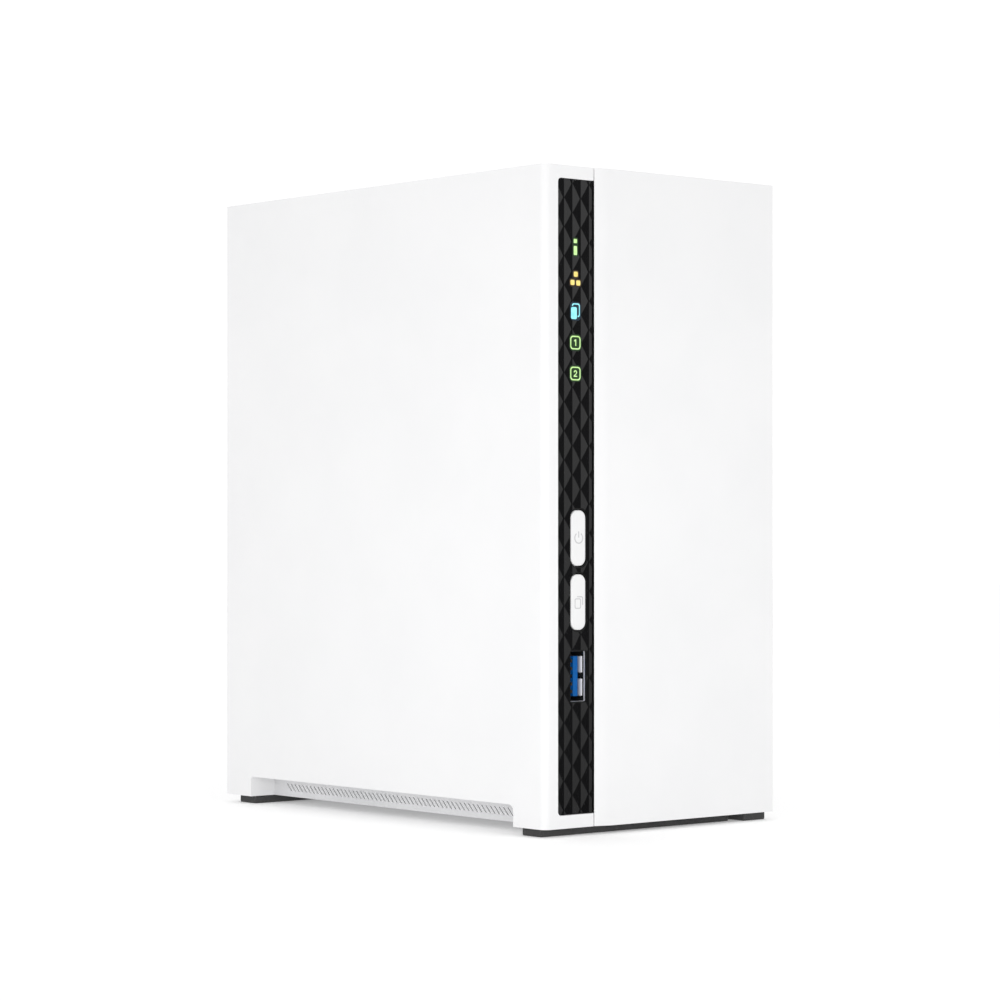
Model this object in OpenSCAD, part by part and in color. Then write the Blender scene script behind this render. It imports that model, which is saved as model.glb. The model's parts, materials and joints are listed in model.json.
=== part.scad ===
// Two-bay network storage unit that stands on its rubber feet.
// Origin: middle of the footprint on the surface it stands on.
// +X is the right side seen from the front, -Y is the front, +Z is up.

/* [Case] */
// Width over both side walls
case_w = 90.19; // [88:0.01:94]
// Depth from the front plate to the rear face
case_d = 156.26; // [154:0.01:162]
// Height of the case without its feet
case_h = 188.64; // [186:0.01:196]
// Thickness of the outer walls
wall = 2.5; // [2:0.1:3]
// Radius of the front left upright edge
edge_r = 2.25; // [1:0.05:2.4]
// Gap along every seam between the cover and the chassis
seam = 0.3; // [0.3:0.05:0.5]

/* [Front] */
// How far the front plate stands proud of the frame round the status strip
plate_proud = 1.4; // [1.2:0.1:1.8]
// Left edge of the front plate
plate_x = -26.15; // [-27:0.05:-26]
// Width of the chamfer down the left side of the front plate
plate_chamfer = 5.15; // [4:0.05:6]
// Thickness of the front plate
plate_t = 3.2; // [3:0.1:3.5]
// Left edge of the window for the status strip
window_x = -40.04; // [-40.2:0.01:-39.5]
// Height of the frame above and below that window
window_margin = 3.75; // [3.5:0.05:4.2]
// How far the status strip lies behind the frame
strip_recess = 0.5; // [0.5:0.1:1.2]
// Thickness of the status strip
strip_t = 2.0; // [1.8:0.1:2.2]

/* [Buttons] */
// Middle of both buttons across the strip
button_x = -31.66; // [-32:0.01:-31.5]
// Width of a button cap
button_w = 5.55; // [5:0.01:6]
// Height of a button cap
button_h = 15.9; // [14:0.1:16.5]
// Radius of the corners of a button cap
button_r = 2.3; // [1.5:0.1:2.5]
// Height of the middle of the power button
power_z = 85.07; // [84:0.01:88]
// Height of the middle of the copy button
copy_z = 66.76; // [64:0.01:67]
// Travel of a button
button_travel = 0.8; // [0.5:0.1:1]

/* [Feet] */
// Height of the rubber feet
foot_h = 2.5; // [2:0.1:4]
// Depth of each foot, front to back
foot_d = 8.4; // [7:0.1:10]
// Distance from the front plate to the front foot bar
foot_front = 5.6; // [5:0.1:7]
// Distance from the rear face to the rear foot bar
foot_rear = 3.8; // [3:0.1:6]

/* [Air inlet] */
// Distance from the front plate to the notch in the left wall
notch_front = 15.1; // [14:0.1:20]
// Distance from the front plate to the rear end of the notch
notch_rear = 143.1; // [130:0.1:144]
// Height of the notch above the underside of the case
notch_h = 6.3; // [5:0.1:8]
// Spacing of the slanted air slots
slot_pitch = 2.0; // [1.8:0.1:3]
// Width of an air slot
slot_w = 0.6; // [0.4:0.1:0.9]

/* [Drives] */
// Thickness of a hard drive
drive_t = 26.1; // [25:0.1:26.1]
// Width of a hard drive
drive_w = 101.6; // [101:0.1:101.6]
// Length of a hard drive
drive_l = 147; // [140:1:147]
// Spacing of the two drives
drive_pitch = 29.5; // [28:0.1:30]

/* [Fan] */
// Width and height of the fan frame
fan_size = 70; // [60:1:70]
// Thickness of the fan frame
fan_t = 15; // [14:1:16]
// Middle of the fan across the case
fan_x = 5; // [3:0.5:6]
// Height of the middle of the fan
fan_z = 112; // [108:1:120]
// Number of fan blades
fan_blades = 7; // [5:1:9]

/* [Hidden] */

// Outer faces of the case
x_left = -case_w / 2;
x_right = case_w / 2;
y_front = -case_d / 2;
y_rear = case_d / 2;
z_low = foot_h;
z_high = foot_h + case_h;
// Faces inside the walls
in_left = x_left + wall;
in_right = x_right - wall;
in_top = z_high - wall;
in_rear = y_rear - wall;
// The frame round the strip, and where the left shell ends beside the plate
frame_y = y_front + plate_proud;
frame_back = frame_y + wall;
shell_x = plate_x - seam;
// The status strip
strip_y = frame_y + strip_recess;
strip_back = strip_y + strip_t;
strip_fit = 0.15;
strip_right = plate_x + 0.55;
strip_corner = 1.05;
strip_flange = 1.6;
strip_flange_t = 0.9;
strip_lip = 1.1;
icon_depth = 0.8;
icon_x = -33.0;
status_z = 168;
network_z = 158.8;
copy_icon_z = 149.5;
disk_z = [140.78, 131.97];
ring_w = 3.9;
ring_line = 0.36;
// The floor of the case and the recess that feeds its air slots
floor_t = 1.6;
recess_x = -35.9;
recess_wall = 2.0;
notch_y0 = y_front + notch_front;
notch_y1 = y_front + notch_rear;
notch_top = z_low + notch_h;
notch_r_front = 2.0;
notch_r_rear = 1.0;
slot_z0 = z_low + 1.8;
slot_z1 = z_low + 4.0;
slot_margin = 6.5;
// Where the floor ends and the cover's own flange begins
floor_x = 33.2;
flange_x = floor_x + seam;
// Laps under the seams
lap = 3.0;
lap_t = 1.7;
lap_y0 = strip_back + strip_flange_t + seam;
// Feet
foot_left_x = -42.7;
foot_right_x = 32.0;
small_foot_x0 = 35.5;
small_foot_x1 = 44.5;
// The upright mainboard, and the front board behind the strip
board_t = 1.6;
board_x0 = -36.7;
board_x1 = board_x0 + board_t;
board_y1 = 74.0;
board_z0 = 12.5;
board_z1 = 178;
board_step_z = 54;
front_board_y0 = -66.6;
front_board_t = 1.2;
front_board_x = [-41, -24];
front_board_holes = [60, 118, 175];
lamp_w = 1.6;
board_y0 = front_board_y0 + front_board_t + 1.0;
board_hole_r = 1.6;
board_holes = [[-58, 62], [-58, 170], [56, 24], [66, 170]];
// Button stack
cap_y = strip_y + 0.05;
cap_gap = 0.3;
switch_size = 6.0;
switch_t = 3.4;
switch_y = front_board_y0 - switch_t;
plunger_r = 1.75;
plunger_in = 1.4;
stem_gap = button_travel + 0.3;
// USB sockets: the mouth of a socket and the sheet round it
usb_mouth = [6.0, 14.07];
usb_sheet = 0.3;
usb_x = -31.8;
usb_z = 45.58;
usb_len = 14;
tongue_t = 1.7;
tongue_h = 11.4;
tongue_back = 1.8;
contact_pitch = 2.2;
// Processor: its place in Y and Z, its side and its thickness
processor_at = [-14, 118];
processor_size = 17;
processor_t = 1.5;
// Places of the other parts on the mainboard, in Y and Z
memory_places = [[18, 104], [18, 124], [34, 104], [34, 124]];
flash_place = [20, 84];
cell_place = [-30, 82];
cell_r = 10;
buzzer_place = [50, 150];
can_places = [[44, 20], [44, 30], [30, 20], [30, 152], [18, 152]];
can_r = 3.15;
can_h = 7.7;
coil_places = [[16, 20], [2, 20], [4, 152]];
coil_w = 7;
coil_h = 3.5;
// Rear sockets, all soldered to the mainboard; each ends just inside the rear face
socket_end = y_rear - 0.6;
rear_usb_z = 64;
rear_usb_x = [-31.8, -23.7];
jack_size = [13.6, 16, 21];
jack_z = 40;
inlet_size = [11, 9.6, 14];
inlet_x = board_x1 + 6.3;
inlet_z = 19.5;
inlet_r = 3.15;
inlet_depth = 9.5;
inlet_pin_r = 1.0;
reset_x = board_x1 + 2.2;
reset_z = 82;
reset_hole_r = 1.0;
reset_y = in_rear - 6.5;
lock_x = -32.5;
lock_z = 98;
lock_w = 3;
lock_h = 7;
// Fan
fan_y1 = in_rear;
fan_y0 = fan_y1 - fan_t;
fan_bore_r = fan_size / 2 - 1.6;
fan_hub_r = 13;
fan_shaft_r = 1.5;
fan_hole = 61.5 / 2 * fan_size / 70;
fan_strut_t = 2.2;
// Fan lead, from the frame's corner to its socket on the mainboard
lead_r = 1.1;
lead_route = [
    [-20, 66, 75.8], [-22, 58, 74], [-27, 54, 70], [-31, 52, 64], [-32.6, 51, 56]
];
// Drives stand upright, side by side, with their boards to the left
drive_x0 = -16.6;
drive_y0 = -62;
drive_y1 = drive_y0 + drive_w;
drive_z0 = 22;
drive_z1 = drive_z0 + drive_l;
drive_holes = [28.5, 130.1];
drive_hole_x = 6.35;
drive_board_gap = 2.2;
drive_lid_t = 0.8;
socket_y0 = drive_y0 + 4;
socket_y1 = socket_y0 + 37;
socket_z = drive_z0 + 3;
// Sheet-metal cage
cage_t = 1.0;
cage_x0 = -19;
cage_x1 = 41.4;
cage_y0 = drive_y0 - 0.2 - cage_t;
cage_y1 = drive_y1 + 0.2 + cage_t;
cage_z1 = 172;
cage_flange = 8;
cage_foot_x = floor_x - lap - 0.2;
cage_z0 = z_low + floor_t;
cage_screw_x = [-10, 24];
cage_slot_w = 3.6;
cage_slot_h = 26;
cage_slot_pitch = 6.6;
cage_slot_z = [64, 102, 140];
backplane_z = 12;
backplane_x0 = board_x1 + 4.5;
backplane_x1 = 34.5;
// Screws
screw_r = 1.5;
screw_fit = 0.05;
head_r = 2.8;
head_t = 1.8;
// Screws that hold the cover
cover_boss_x = 38.6;
cover_boss_z = [15, 178];
cover_boss_r = 3.4;
cover_boss_len = 12;
cover_screw_len = wall - head_t + seam + cover_boss_len - 3.5;
fan_screw_places = [for (sx = [-1, 1], sz = [-1, 1]) [fan_x + sx * fan_hole, fan_z + sz * fan_hole]];
cover_screw_places = [for (z = cover_boss_z) [cover_boss_x, z]];
round_fn = 64;
hole_fn = 32;

// A box between two opposite corners.
module slab(low, high) {
    translate(low) cube(high - low);
}

// Round rods along each axis.
module rod_x(y, z, r, x0, x1) {
    translate([x0, y, z]) rotate([0, 90, 0]) cylinder(r = r, h = x1 - x0, $fn = round_fn);
}

module rod_y(x, z, r, y0, y1) {
    translate([x, y0, z]) rotate([-90, 0, 0]) cylinder(r = r, h = y1 - y0, $fn = round_fn);
}

module rod_z(x, y, r, z0, z1) {
    translate([x, y, z0]) cylinder(r = r, h = z1 - z0, $fn = round_fn);
}

// Stands an outline drawn in X and Z upright, from y0 back to y1.
module upright(y0, y1) {
    translate([0, y1, 0]) rotate([90, 0, 0]) linear_extrude(y1 - y0) children();
}

// Stands an outline drawn in Y and Z upright, from x0 across to x1.
module sideways(x0, x1) {
    translate([x0, 0, 0]) rotate([90, 0, 90]) linear_extrude(x1 - x0) children();
}

// Rectangle with round corners, from its middle and its size.
module round_rect(mid, size, r) {
    translate([mid.x - size.x / 2 + r, mid.y - size.y / 2]) square([size.x - 2 * r, size.y]);
    translate([mid.x - size.x / 2, mid.y - size.y / 2 + r]) square([size.x, size.y - 2 * r]);
    for (sx = [-1, 1], sy = [-1, 1])
        translate([mid.x + sx * (size.x / 2 - r), mid.y + sy * (size.y / 2 - r)])
            circle(r, $fn = hole_fn);
}

// A screw along +Y with its head at the y it starts from; turn = -1 points it along -Y.
module screw_y(x, z, y, length, turn = 1) {
    y_shank = min(y, y + turn * length);
    y_head = min(y, y - turn * head_t);
    rod_y(x, z, screw_r, y_shank, y_shank + length);
    difference() {
        rod_y(x, z, head_r, y_head, y_head + head_t);
        y_drive = turn > 0 ? y_head - 1 : y_head + head_t - 1;
        slab([x - 1.6, y_drive, z - 0.35], [x + 1.6, y_drive + 2, z + 0.35]);
        slab([x - 0.35, y_drive, z - 1.6], [x + 0.35, y_drive + 2, z + 1.6]);
    }
}

// A screw along -Z with its head on top of z.
module screw_z(x, y, z, length) {
    rod_z(x, y, screw_r, z - length, z);
    difference() {
        rod_z(x, y, head_r, z, z + head_t);
        slab([x - 1.6, y - 0.35, z + 0.8], [x + 1.6, y + 0.35, z + head_t + 1]);
        slab([x - 0.35, y - 1.6, z + 0.8], [x + 0.35, y + 1.6, z + head_t + 1]);
    }
}

// ---- Chassis shell -------------------------------------------------------------------------

// What is taken off the front left corner to leave it round.
module corner_waste() {
    difference() {
        slab([x_left - 1, frame_y - 1, z_low - 1], [x_left + edge_r, frame_y + edge_r, z_high + 1]);
        rod_z(x_left + edge_r, frame_y + edge_r, edge_r, z_low - 2, z_high + 2);
    }
}

// Outline of the notch in the left wall, in Y and Z.
module notch_outline() {
    difference() {
        translate([notch_y0, z_low - 1]) square([notch_y1 - notch_y0, notch_h + 1]);
        difference() {
            translate([notch_y0, notch_top - notch_r_front]) square(notch_r_front);
            translate([notch_y0 + notch_r_front, notch_top - notch_r_front])
                circle(notch_r_front, $fn = hole_fn);
        }
        difference() {
            translate([notch_y1 - notch_r_rear, notch_top - notch_r_rear]) square(notch_r_rear);
            translate([notch_y1 - notch_r_rear, notch_top - notch_r_rear])
                circle(notch_r_rear, $fn = hole_fn);
        }
    }
}

// Left wall, front frame and left part of the top and bottom, moulded in one.
module left_shell() {
    color("white") {
        difference() {
            slab([x_left, frame_y, z_low], [shell_x, y_rear, z_high]);
            corner_waste();
            slab([in_left, frame_back, z_low + floor_t], [shell_x + 1, y_rear + 1, in_top]);
            slab([recess_x, frame_back, z_low - 1], [shell_x + 1, y_rear + 1, z_low + wall]);
            sideways(x_left - 1, recess_x + 1) notch_outline();
            upright(frame_y - 1, frame_back + 1) window_outline();
        }
        recess_lining();
        slab([shell_x - lap, lap_y0, in_top - seam - lap_t], [shell_x + lap, in_rear, in_top - seam]);
        slab([shell_x - lap, lap_y0, in_top - seam], [shell_x, in_rear, in_top]);
    }
}

// The window in the frame, open towards the front plate.
module window_outline() {
    z0 = z_low + window_margin;
    z1 = z_high - window_margin;
    r = 1.2;
    difference() {
        translate([window_x, z0]) square([shell_x + 1 - window_x, z1 - z0]);
        for (z = [z0, z1 - r])
            difference() {
                translate([window_x, z]) square(r);
                translate([window_x + r, z == z0 ? z + r : z]) circle(r, $fn = hole_fn);
            }
    }
}

// Roof and end walls of the channel that the notch opens into.
module recess_lining() {
    roof_z = notch_top + recess_wall;
    slab([in_left, notch_y0, notch_top], [recess_x, notch_y1, roof_z]);
    slab([in_left, notch_y0 - recess_wall, z_low + floor_t], [recess_x, notch_y0, roof_z]);
    slab([in_left, notch_y1, z_low + floor_t], [recess_x, notch_y1 + recess_wall, roof_z]);
}

// Pillars that hold the mainboard off the left wall.
module standoffs() {
    color("gold")
        for (p = board_holes)
            difference() {
                rod_x(p[0], p[1], 3, in_left, board_x0);
                rod_x(p[0], p[1], screw_r, in_left + 1, board_x0 + 1);
            }
}

// Bottom of the case, with the slotted wall that lets air in.
module base_tray() {
    y0 = frame_back + seam;
    color("gainsboro") {
        difference() {
            slab([recess_x, y0, z_low], [floor_x, in_rear, z_low + floor_t]);
            for (x = cage_screw_x, y = [cage_y0 - cage_flange / 2, cage_y1 + cage_flange / 2])
                rod_z(x, y, screw_r, z_low + 0.4, z_low + floor_t + 1);
        }
        difference() {
            slab([recess_x, notch_y0 - recess_wall, z_low + floor_t],
                 [recess_x + recess_wall, notch_y1 + recess_wall, notch_top + recess_wall]);
            sideways(recess_x - 1, recess_x + recess_wall + 1) air_slots();
        }
        slab([floor_x - lap, y0, z_low + floor_t], [floor_x, in_rear, z_low + wall + seam]);
        slab([floor_x - lap, y0, z_low + wall + seam],
             [floor_x + lap, in_rear, z_low + wall + seam + lap_t]);
    }
}

// The row of slanted air slots, in Y and Z.
module air_slots() {
    lean = slot_z1 - slot_z0;
    count = floor((notch_y1 - notch_y0 - 2 * slot_margin) / slot_pitch);
    for (i = [0 : count - 1]) {
        y = notch_y0 + slot_margin + i * slot_pitch;
        polygon([[y, slot_z0], [y + slot_w, slot_z0], [y + slot_w + lean, slot_z1], [y + lean, slot_z1]]);
    }
}

// Rear face, with the fan grille and the holes for the sockets.
module rear_panel() {
    color("whitesmoke")
        difference() {
            union() {
                slab([in_left, in_rear, z_low + floor_t], [in_right - seam, y_rear, in_top - seam]);
                slab([recess_x, in_rear, z_low], [floor_x, y_rear, z_low + wall]);
            }
            slab([floor_x, in_rear - 1, z_low], [in_right, y_rear + 1, z_low + wall + seam]);
            upright(in_rear - 1, y_rear + 1) rear_holes();
            // Counterbores, so that the screw heads end flush with the face
            for (p = concat(fan_screw_places, cover_screw_places))
                rod_y(p[0], p[1], head_r + 0.2, y_rear - head_t, y_rear + 1);
        }
}

// Every opening of the rear face, in X and Z.
module rear_holes() {
    fan_grille();
    for (p = concat(fan_screw_places, cover_screw_places))
        translate(p) circle(screw_r + screw_fit, $fn = hole_fn);
    for (x = rear_usb_x)
        round_rect([x, rear_usb_z], usb_mouth + [0.9, 0.9], 0.4);
    translate([board_x1 - 0.2, jack_z - jack_size.y / 2 - 0.2])
        square([jack_size.x + 0.4, jack_size.y + 0.4]);
    translate([inlet_x, inlet_z]) circle(inlet_r + 0.8, $fn = hole_fn);
    translate([reset_x, reset_z]) circle(reset_hole_r, $fn = hole_fn);
    round_rect([lock_x, lock_z], [lock_w, lock_h], 0.6);
}

// Six-sided holes in rows, kept inside the fan's circle.
module fan_grille() {
    pitch = 5.2;
    cell_r = 2.5;
    rows = ceil(fan_bore_r / (pitch * sin(60)));
    for (j = [-rows : rows], i = [-rows : rows]) {
        x = (i + (j % 2 == 0 ? 0 : 0.5)) * pitch;
        z = j * pitch * sin(60);
        if (norm([x, z]) < fan_bore_r - cell_r)
            translate([fan_x + x, fan_z + z]) rotate(30) circle(cell_r, $fn = 6);
    }
}

// ---- Status strip --------------------------------------------------------------------------

// Black strip behind the window, with the button and socket openings.
module status_strip() {
    color([0.1, 0.1, 0.1])
        difference() {
            union() {
                upright(strip_y, strip_back) strip_outline();
                slab([window_x - strip_flange, frame_back + 0.05, z_low + window_margin - strip_lip],
                     [strip_right, strip_back + strip_flange_t, z_high - window_margin + strip_lip]);
            }
            for (z = [power_z, copy_z])
                upright(strip_y - 1, strip_back + 2) button_outline(z, cap_gap);
            upright(strip_y - 1, strip_back + 2)
                round_rect([usb_x, usb_z], usb_mouth + [0.9, 0.9], 0.4);
            upright(strip_y - 1, strip_y + icon_depth) all_icons();
        }
}

module strip_outline() {
    round_rect([(window_x + strip_right) / 2, z_low + case_h / 2],
               [strip_right - window_x, case_h - 2 * window_margin] - [2, 2] * strip_fit, strip_corner);
}

module button_outline(z, gap) {
    round_rect([button_x, z], [button_w + 2 * gap, button_h + 2 * gap], button_r + gap);
}

module all_icons() {
    status_icon();
    network_icon();
    copy_icon();
    disk_icon(disk_z[0], 1);
    disk_icon(disk_z[1], 2);
}

// A dot over a bar.
module status_icon() {
    round_rect([icon_x, status_z + 1.75], [1.25, 1.2], 0.25);
    round_rect([icon_x, status_z - 0.95], [1.25, 2.6], 0.25);
}

// Three boxes for the network, one over two.
module network_icon() {
    box_size = [1.55, 1.5];
    round_rect([icon_x + 0.15, network_z + 1.5], box_size, 0.4);
    round_rect([icon_x - 1.1, network_z - 0.9], box_size, 0.4);
    round_rect([icon_x + 1.1, network_z - 0.95], box_size, 0.4);
}

// A filled sheet in front of an outlined one.
module copy_icon() {
    sheet = [icon_x - 0.55, copy_icon_z - 0.3];
    behind = [icon_x + 0.2, copy_icon_z + 0.55];
    round_rect(sheet, [2.2, 3.45], 0.5);
    difference() {
        round_rect(behind, [3.0, 3.9], 0.7);
        round_rect(behind, [2.3, 3.15], 0.45);
        round_rect(sheet, [2.8, 4.05], 0.6);
    }
}

// A bay number in a square ring.
module disk_icon(z, number) {
    difference() {
        round_rect([icon_x, z], [ring_w, ring_w], 1.0);
        round_rect([icon_x, z], [ring_w, ring_w] - [2, 2] * ring_line, 0.7);
    }
    translate([icon_x, z]) {
        if (number == 1)
            figure_one();
        else
            figure_two();
    }
}

module figure_one() {
    translate([-0.05, -0.95]) square([0.36, 1.9]);
    polygon([[-0.05, 0.95], [-0.52, 0.58], [-0.36, 0.3], [-0.05, 0.52]]);
}

// A hook, a slanted stroke and a foot.
module figure_two() {
    difference() {
        translate([0, 0.33]) circle(0.62, $fn = hole_fn);
        translate([0, 0.33]) circle(0.28, $fn = hole_fn);
        polygon([[-1, 0.3], [0.15, 0.3], [0.45, 0], [0.45, -1], [-1, -1]]);
    }
    polygon([[0.14, 0.02], [0.57, 0.1], [-0.15, -0.66], [-0.65, -0.66]]);
    translate([-0.65, -0.95]) square([1.3, 0.32]);
}

// A lens that fills an icon's pocket.
module lens() {
    upright(strip_y, strip_y + icon_depth) children();
}

module status_lens() {
    color([0.75, 1, 0.3]) lens() status_icon();
}

module network_lens() {
    color([1, 0.7, 0.15]) lens() network_icon();
}

module copy_lens() {
    color([0.35, 0.85, 1]) lens() copy_icon();
}

module disk_1_lens() {
    color([0.75, 1, 0.3]) lens() disk_icon(disk_z[0], 1);
}

module disk_2_lens() {
    color([0.75, 1, 0.3]) lens() disk_icon(disk_z[1], 2);
}

// Clear block with one leg for each icon, between the lamps and the strip.
module light_guide() {
    guide_y0 = strip_back + strip_flange_t + 0.05;
    guide_x = [icon_x - 4, icon_x + 4.4];
    legs = [disk_z[1], disk_z[0], copy_icon_z, network_z, status_z];
    color([0.9, 0.95, 1])
        difference() {
            slab([guide_x[0], guide_y0, legs[0] - 4.7], [guide_x[1], front_board_y0 - 0.8, legs[4] + 5]);
            for (i = [0 : 3]) {
                z = (legs[i] + legs[i + 1]) / 2;
                slab([guide_x[0] - 1, guide_y0 + 1.5, z - 1], [guide_x[1] + 1, front_board_y0, z + 1]);
            }
        }
}

// Small board behind the strip that carries the lamps and both switches.
module front_board() {
    color("darkgreen")
        difference() {
            slab([front_board_x[0], front_board_y0, board_step_z + 2],
                 [front_board_x[1], front_board_y0 + front_board_t, board_z1]);
            for (z = front_board_holes)
                rod_y(front_board_x[0] + 2, z, 1.1, front_board_y0 - 1, front_board_y0 + front_board_t + 1);
        }
    color("ivory")
        for (z = [disk_z[1], disk_z[0], copy_icon_z, network_z, status_z])
            slab([icon_x - lamp_w / 2, front_board_y0 - 0.7, z - lamp_w / 2],
                 [icon_x + lamp_w / 2, front_board_y0, z + lamp_w / 2]);
}

// Bodies of the two push switches.
module front_switches() {
    color("dimgray")
        for (z = [power_z, copy_z])
            difference() {
                slab([button_x - switch_size / 2, switch_y, z - switch_size / 2],
                     [button_x + switch_size / 2, front_board_y0, z + switch_size / 2]);
                rod_y(button_x, z, plunger_r + screw_fit,
                      switch_y - 1, switch_y + plunger_in + button_travel + 0.4);
            }
}

// ---- Buttons -------------------------------------------------------------------------------

// A cap with a collar behind the strip, so that it can't fall out, and a stem.
module button_cap(z) {
    collar_y = strip_back + 1.2;
    difference() {
        union() {
            upright(cap_y, collar_y) button_outline(z, 0);
            upright(collar_y, collar_y + 0.9) button_outline(z, cap_gap + 0.5);
            slab([button_x - 1.2, collar_y + 0.9, z - 2.4], [button_x + 1.2, switch_y - stem_gap, z + 2.4]);
        }
        upright(cap_y - 1, cap_y + 0.12) children();
    }
}

module power_button() {
    color("white") button_cap(power_z) power_mark();
}

module copy_button() {
    color("white") button_cap(copy_z) copy_mark();
}

// Broken ring with a bar.
module power_mark() {
    ring_r = 1.35;
    line = 0.22;
    difference() {
        translate([button_x, power_z]) circle(ring_r + line / 2, $fn = round_fn);
        translate([button_x, power_z]) circle(ring_r - line / 2, $fn = round_fn);
        translate([button_x - 0.5, power_z]) square([1, 2 * ring_r]);
    }
    translate([button_x - line / 2, power_z + 0.2]) square([line, 1.5]);
}

// Two overlapping sheets.
module copy_mark() {
    line = 0.22;
    for (d = [-0.5, 0.5])
        difference() {
            round_rect([button_x + d, copy_z + d * 1.3], [2.0, 2.8], 0.35);
            round_rect([button_x + d, copy_z + d * 1.3], [2.0 - 2 * line, 2.8 - 2 * line], 0.2);
            if (d > 0)
                round_rect([button_x - d, copy_z - d * 1.3], [2.0, 2.8], 0.35);
        }
}

// The moving pin of a switch, which follows the button's stem.
module plunger(z) {
    rod_y(button_x, z, plunger_r, switch_y - stem_gap, switch_y + plunger_in);
}

module power_plunger() {
    color("black") plunger(power_z);
}

module copy_plunger() {
    color("black") plunger(copy_z);
}

// ---- Mainboard -----------------------------------------------------------------------------

// Upright circuit board; its front edge steps back behind the front board.
module mainboard() {
    color("darkgreen")
        difference() {
            sideways(board_x0, board_x1)
                polygon([
                    [board_y0, board_step_z], [board_y0, board_z1], [board_y1, board_z1],
                    [board_y1, board_z0], [strip_back + 1.2, board_z0], [strip_back + 1.2, board_step_z]
                ]);
            for (p = board_holes)
                rod_x(p[0], p[1], board_hole_r, board_x0 - 1, board_x1 + 1);
        }
}

module board_screws() {
    color("silver")
        for (p = board_holes) {
            rod_x(p[0], p[1], screw_r, board_x0 - 3, board_x1);
            difference() {
                rod_x(p[0], p[1], head_r, board_x1, board_x1 + head_t);
                slab([board_x1 + 0.8, p[0] - 1.6, p[1] - 0.35], [board_x1 + 3, p[0] + 1.6, p[1] + 0.35]);
                slab([board_x1 + 0.8, p[0] - 0.35, p[1] - 1.6], [board_x1 + 3, p[0] + 0.35, p[1] + 1.6]);
            }
        }
}

module processor() {
    h = processor_size / 2;
    color("black")
        slab([board_x1, processor_at.x - h, processor_at.y - h],
             [board_x1 + processor_t, processor_at.x + h, processor_at.y + h]);
}

// Finned block on the processor.
module heatsink() {
    h = 16;
    x0 = board_x1 + processor_t;
    fins = 9;
    pitch = (2 * h - 1.2) / (fins - 1);
    color("silver") {
        slab([x0, processor_at.x - h, processor_at.y - h], [x0 + 2, processor_at.x + h, processor_at.y + h]);
        for (i = [0 : fins - 1])
            slab([x0 + 2, processor_at.x - h + i * pitch, processor_at.y - h],
                 [x0 + 9, processor_at.x - h + i * pitch + 1.2, processor_at.y + h]);
    }
}

module memory_chips() {
    color([0.12, 0.12, 0.13]) {
        for (p = memory_places)
            slab([board_x1, p[0] - 5, p[1] - 6.5], [board_x1 + 1.2, p[0] + 5, p[1] + 6.5]);
        slab([board_x1, flash_place[0] - 6, flash_place[1] - 6],
             [board_x1 + 1, flash_place[0] + 6, flash_place[1] + 6]);
    }
}

module coin_cell() {
    holder = cell_r + 1.5;
    y = cell_place[0];
    z = cell_place[1];
    color("silver") rod_x(y, z, cell_r, board_x1 + 0.8, board_x1 + 4);
    color("black")
        difference() {
            slab([board_x1, y - holder, z - holder], [board_x1 + 2.4, y + holder, z + holder]);
            rod_x(y, z, cell_r, board_x1 + 0.8, board_x1 + 4);
        }
}

module buzzer() {
    color("black")
        difference() {
            rod_x(buzzer_place[0], buzzer_place[1], 4.5, board_x1, board_x1 + 5.5);
            rod_x(buzzer_place[0], buzzer_place[1], 0.8, board_x1 + 4, board_x1 + 6);
        }
}

// Upright cans and square coils by the power inlet.
module capacitors() {
    color("darkslateblue")
        for (p = can_places)
            rod_x(p[0], p[1], can_r, board_x1, board_x1 + can_h);
    color("dimgray")
        for (p = coil_places)
            slab([board_x1, p[0] - coil_w / 2, p[1] - coil_w / 2],
                 [board_x1 + coil_h, p[0] + coil_w / 2, p[1] + coil_w / 2]);
}

// ---- Sockets -------------------------------------------------------------------------------

// Folded steel shell round a USB mouth, from y0 back to y1.
module usb_can(x, z, y0, y1) {
    difference() {
        upright(y0, y1) round_rect([x, z], usb_mouth + [2 * usb_sheet, 2 * usb_sheet], 0.3);
        upright(y0 - 1, y1 + 1) round_rect([x, z], usb_mouth, 0.25);
    }
}

module front_usb_shell() {
    color("silver")
        difference() {
            usb_can(usb_x, usb_z, strip_y, strip_y + usb_len);
            spring_windows();
        }
}

// Windows that the contact springs leave in the right side of the shell.
module spring_windows() {
    x = usb_x + usb_mouth.x / 2;
    for (dz = [-3.4, 3.4])
        slab([x - 0.1, strip_y + 3, usb_z + dz - 1.6], [x + 1, strip_y + 9, usb_z + dz + 1.6]);
}

module usb_tongue(x, z, y0, y1, side) {
    x0 = x + side * 0.35 - tongue_t / 2;
    slab([x0, y0 + tongue_back, z - tongue_h / 2], [x0 + tongue_t, y1 - 2, z + tongue_h / 2]);
    slab([x - usb_mouth.x / 2 + 0.05, y1 - 2, z - usb_mouth.y / 2 + 0.05],
         [x + usb_mouth.x / 2 - 0.05, y1, z + usb_mouth.y / 2 - 0.05]);
}

module front_usb_tongue() {
    color([0.1, 0.35, 0.75])
        difference() {
            usb_tongue(usb_x, usb_z, strip_y, strip_y + usb_len, 1);
            for (i = [-2 : 2])
                slab([usb_x + 0.35 - tongue_t, strip_y + tongue_back + 0.4, usb_z + i * contact_pitch - 0.5],
                     [usb_x + 0.65 - tongue_t / 2, strip_y + usb_len - 2, usb_z + i * contact_pitch + 0.5]);
        }
}

// Gold strips that lie in the tongue's grooves.
module front_usb_contacts() {
    x0 = usb_x + 0.35 - tongue_t / 2;
    color("gold")
        for (i = [-2 : 2])
            slab([x0 + 0.1, strip_y + tongue_back + 0.4, usb_z + i * contact_pitch - 0.5],
                 [x0 + 0.3, strip_y + usb_len - 2, usb_z + i * contact_pitch + 0.5]);
}

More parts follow.
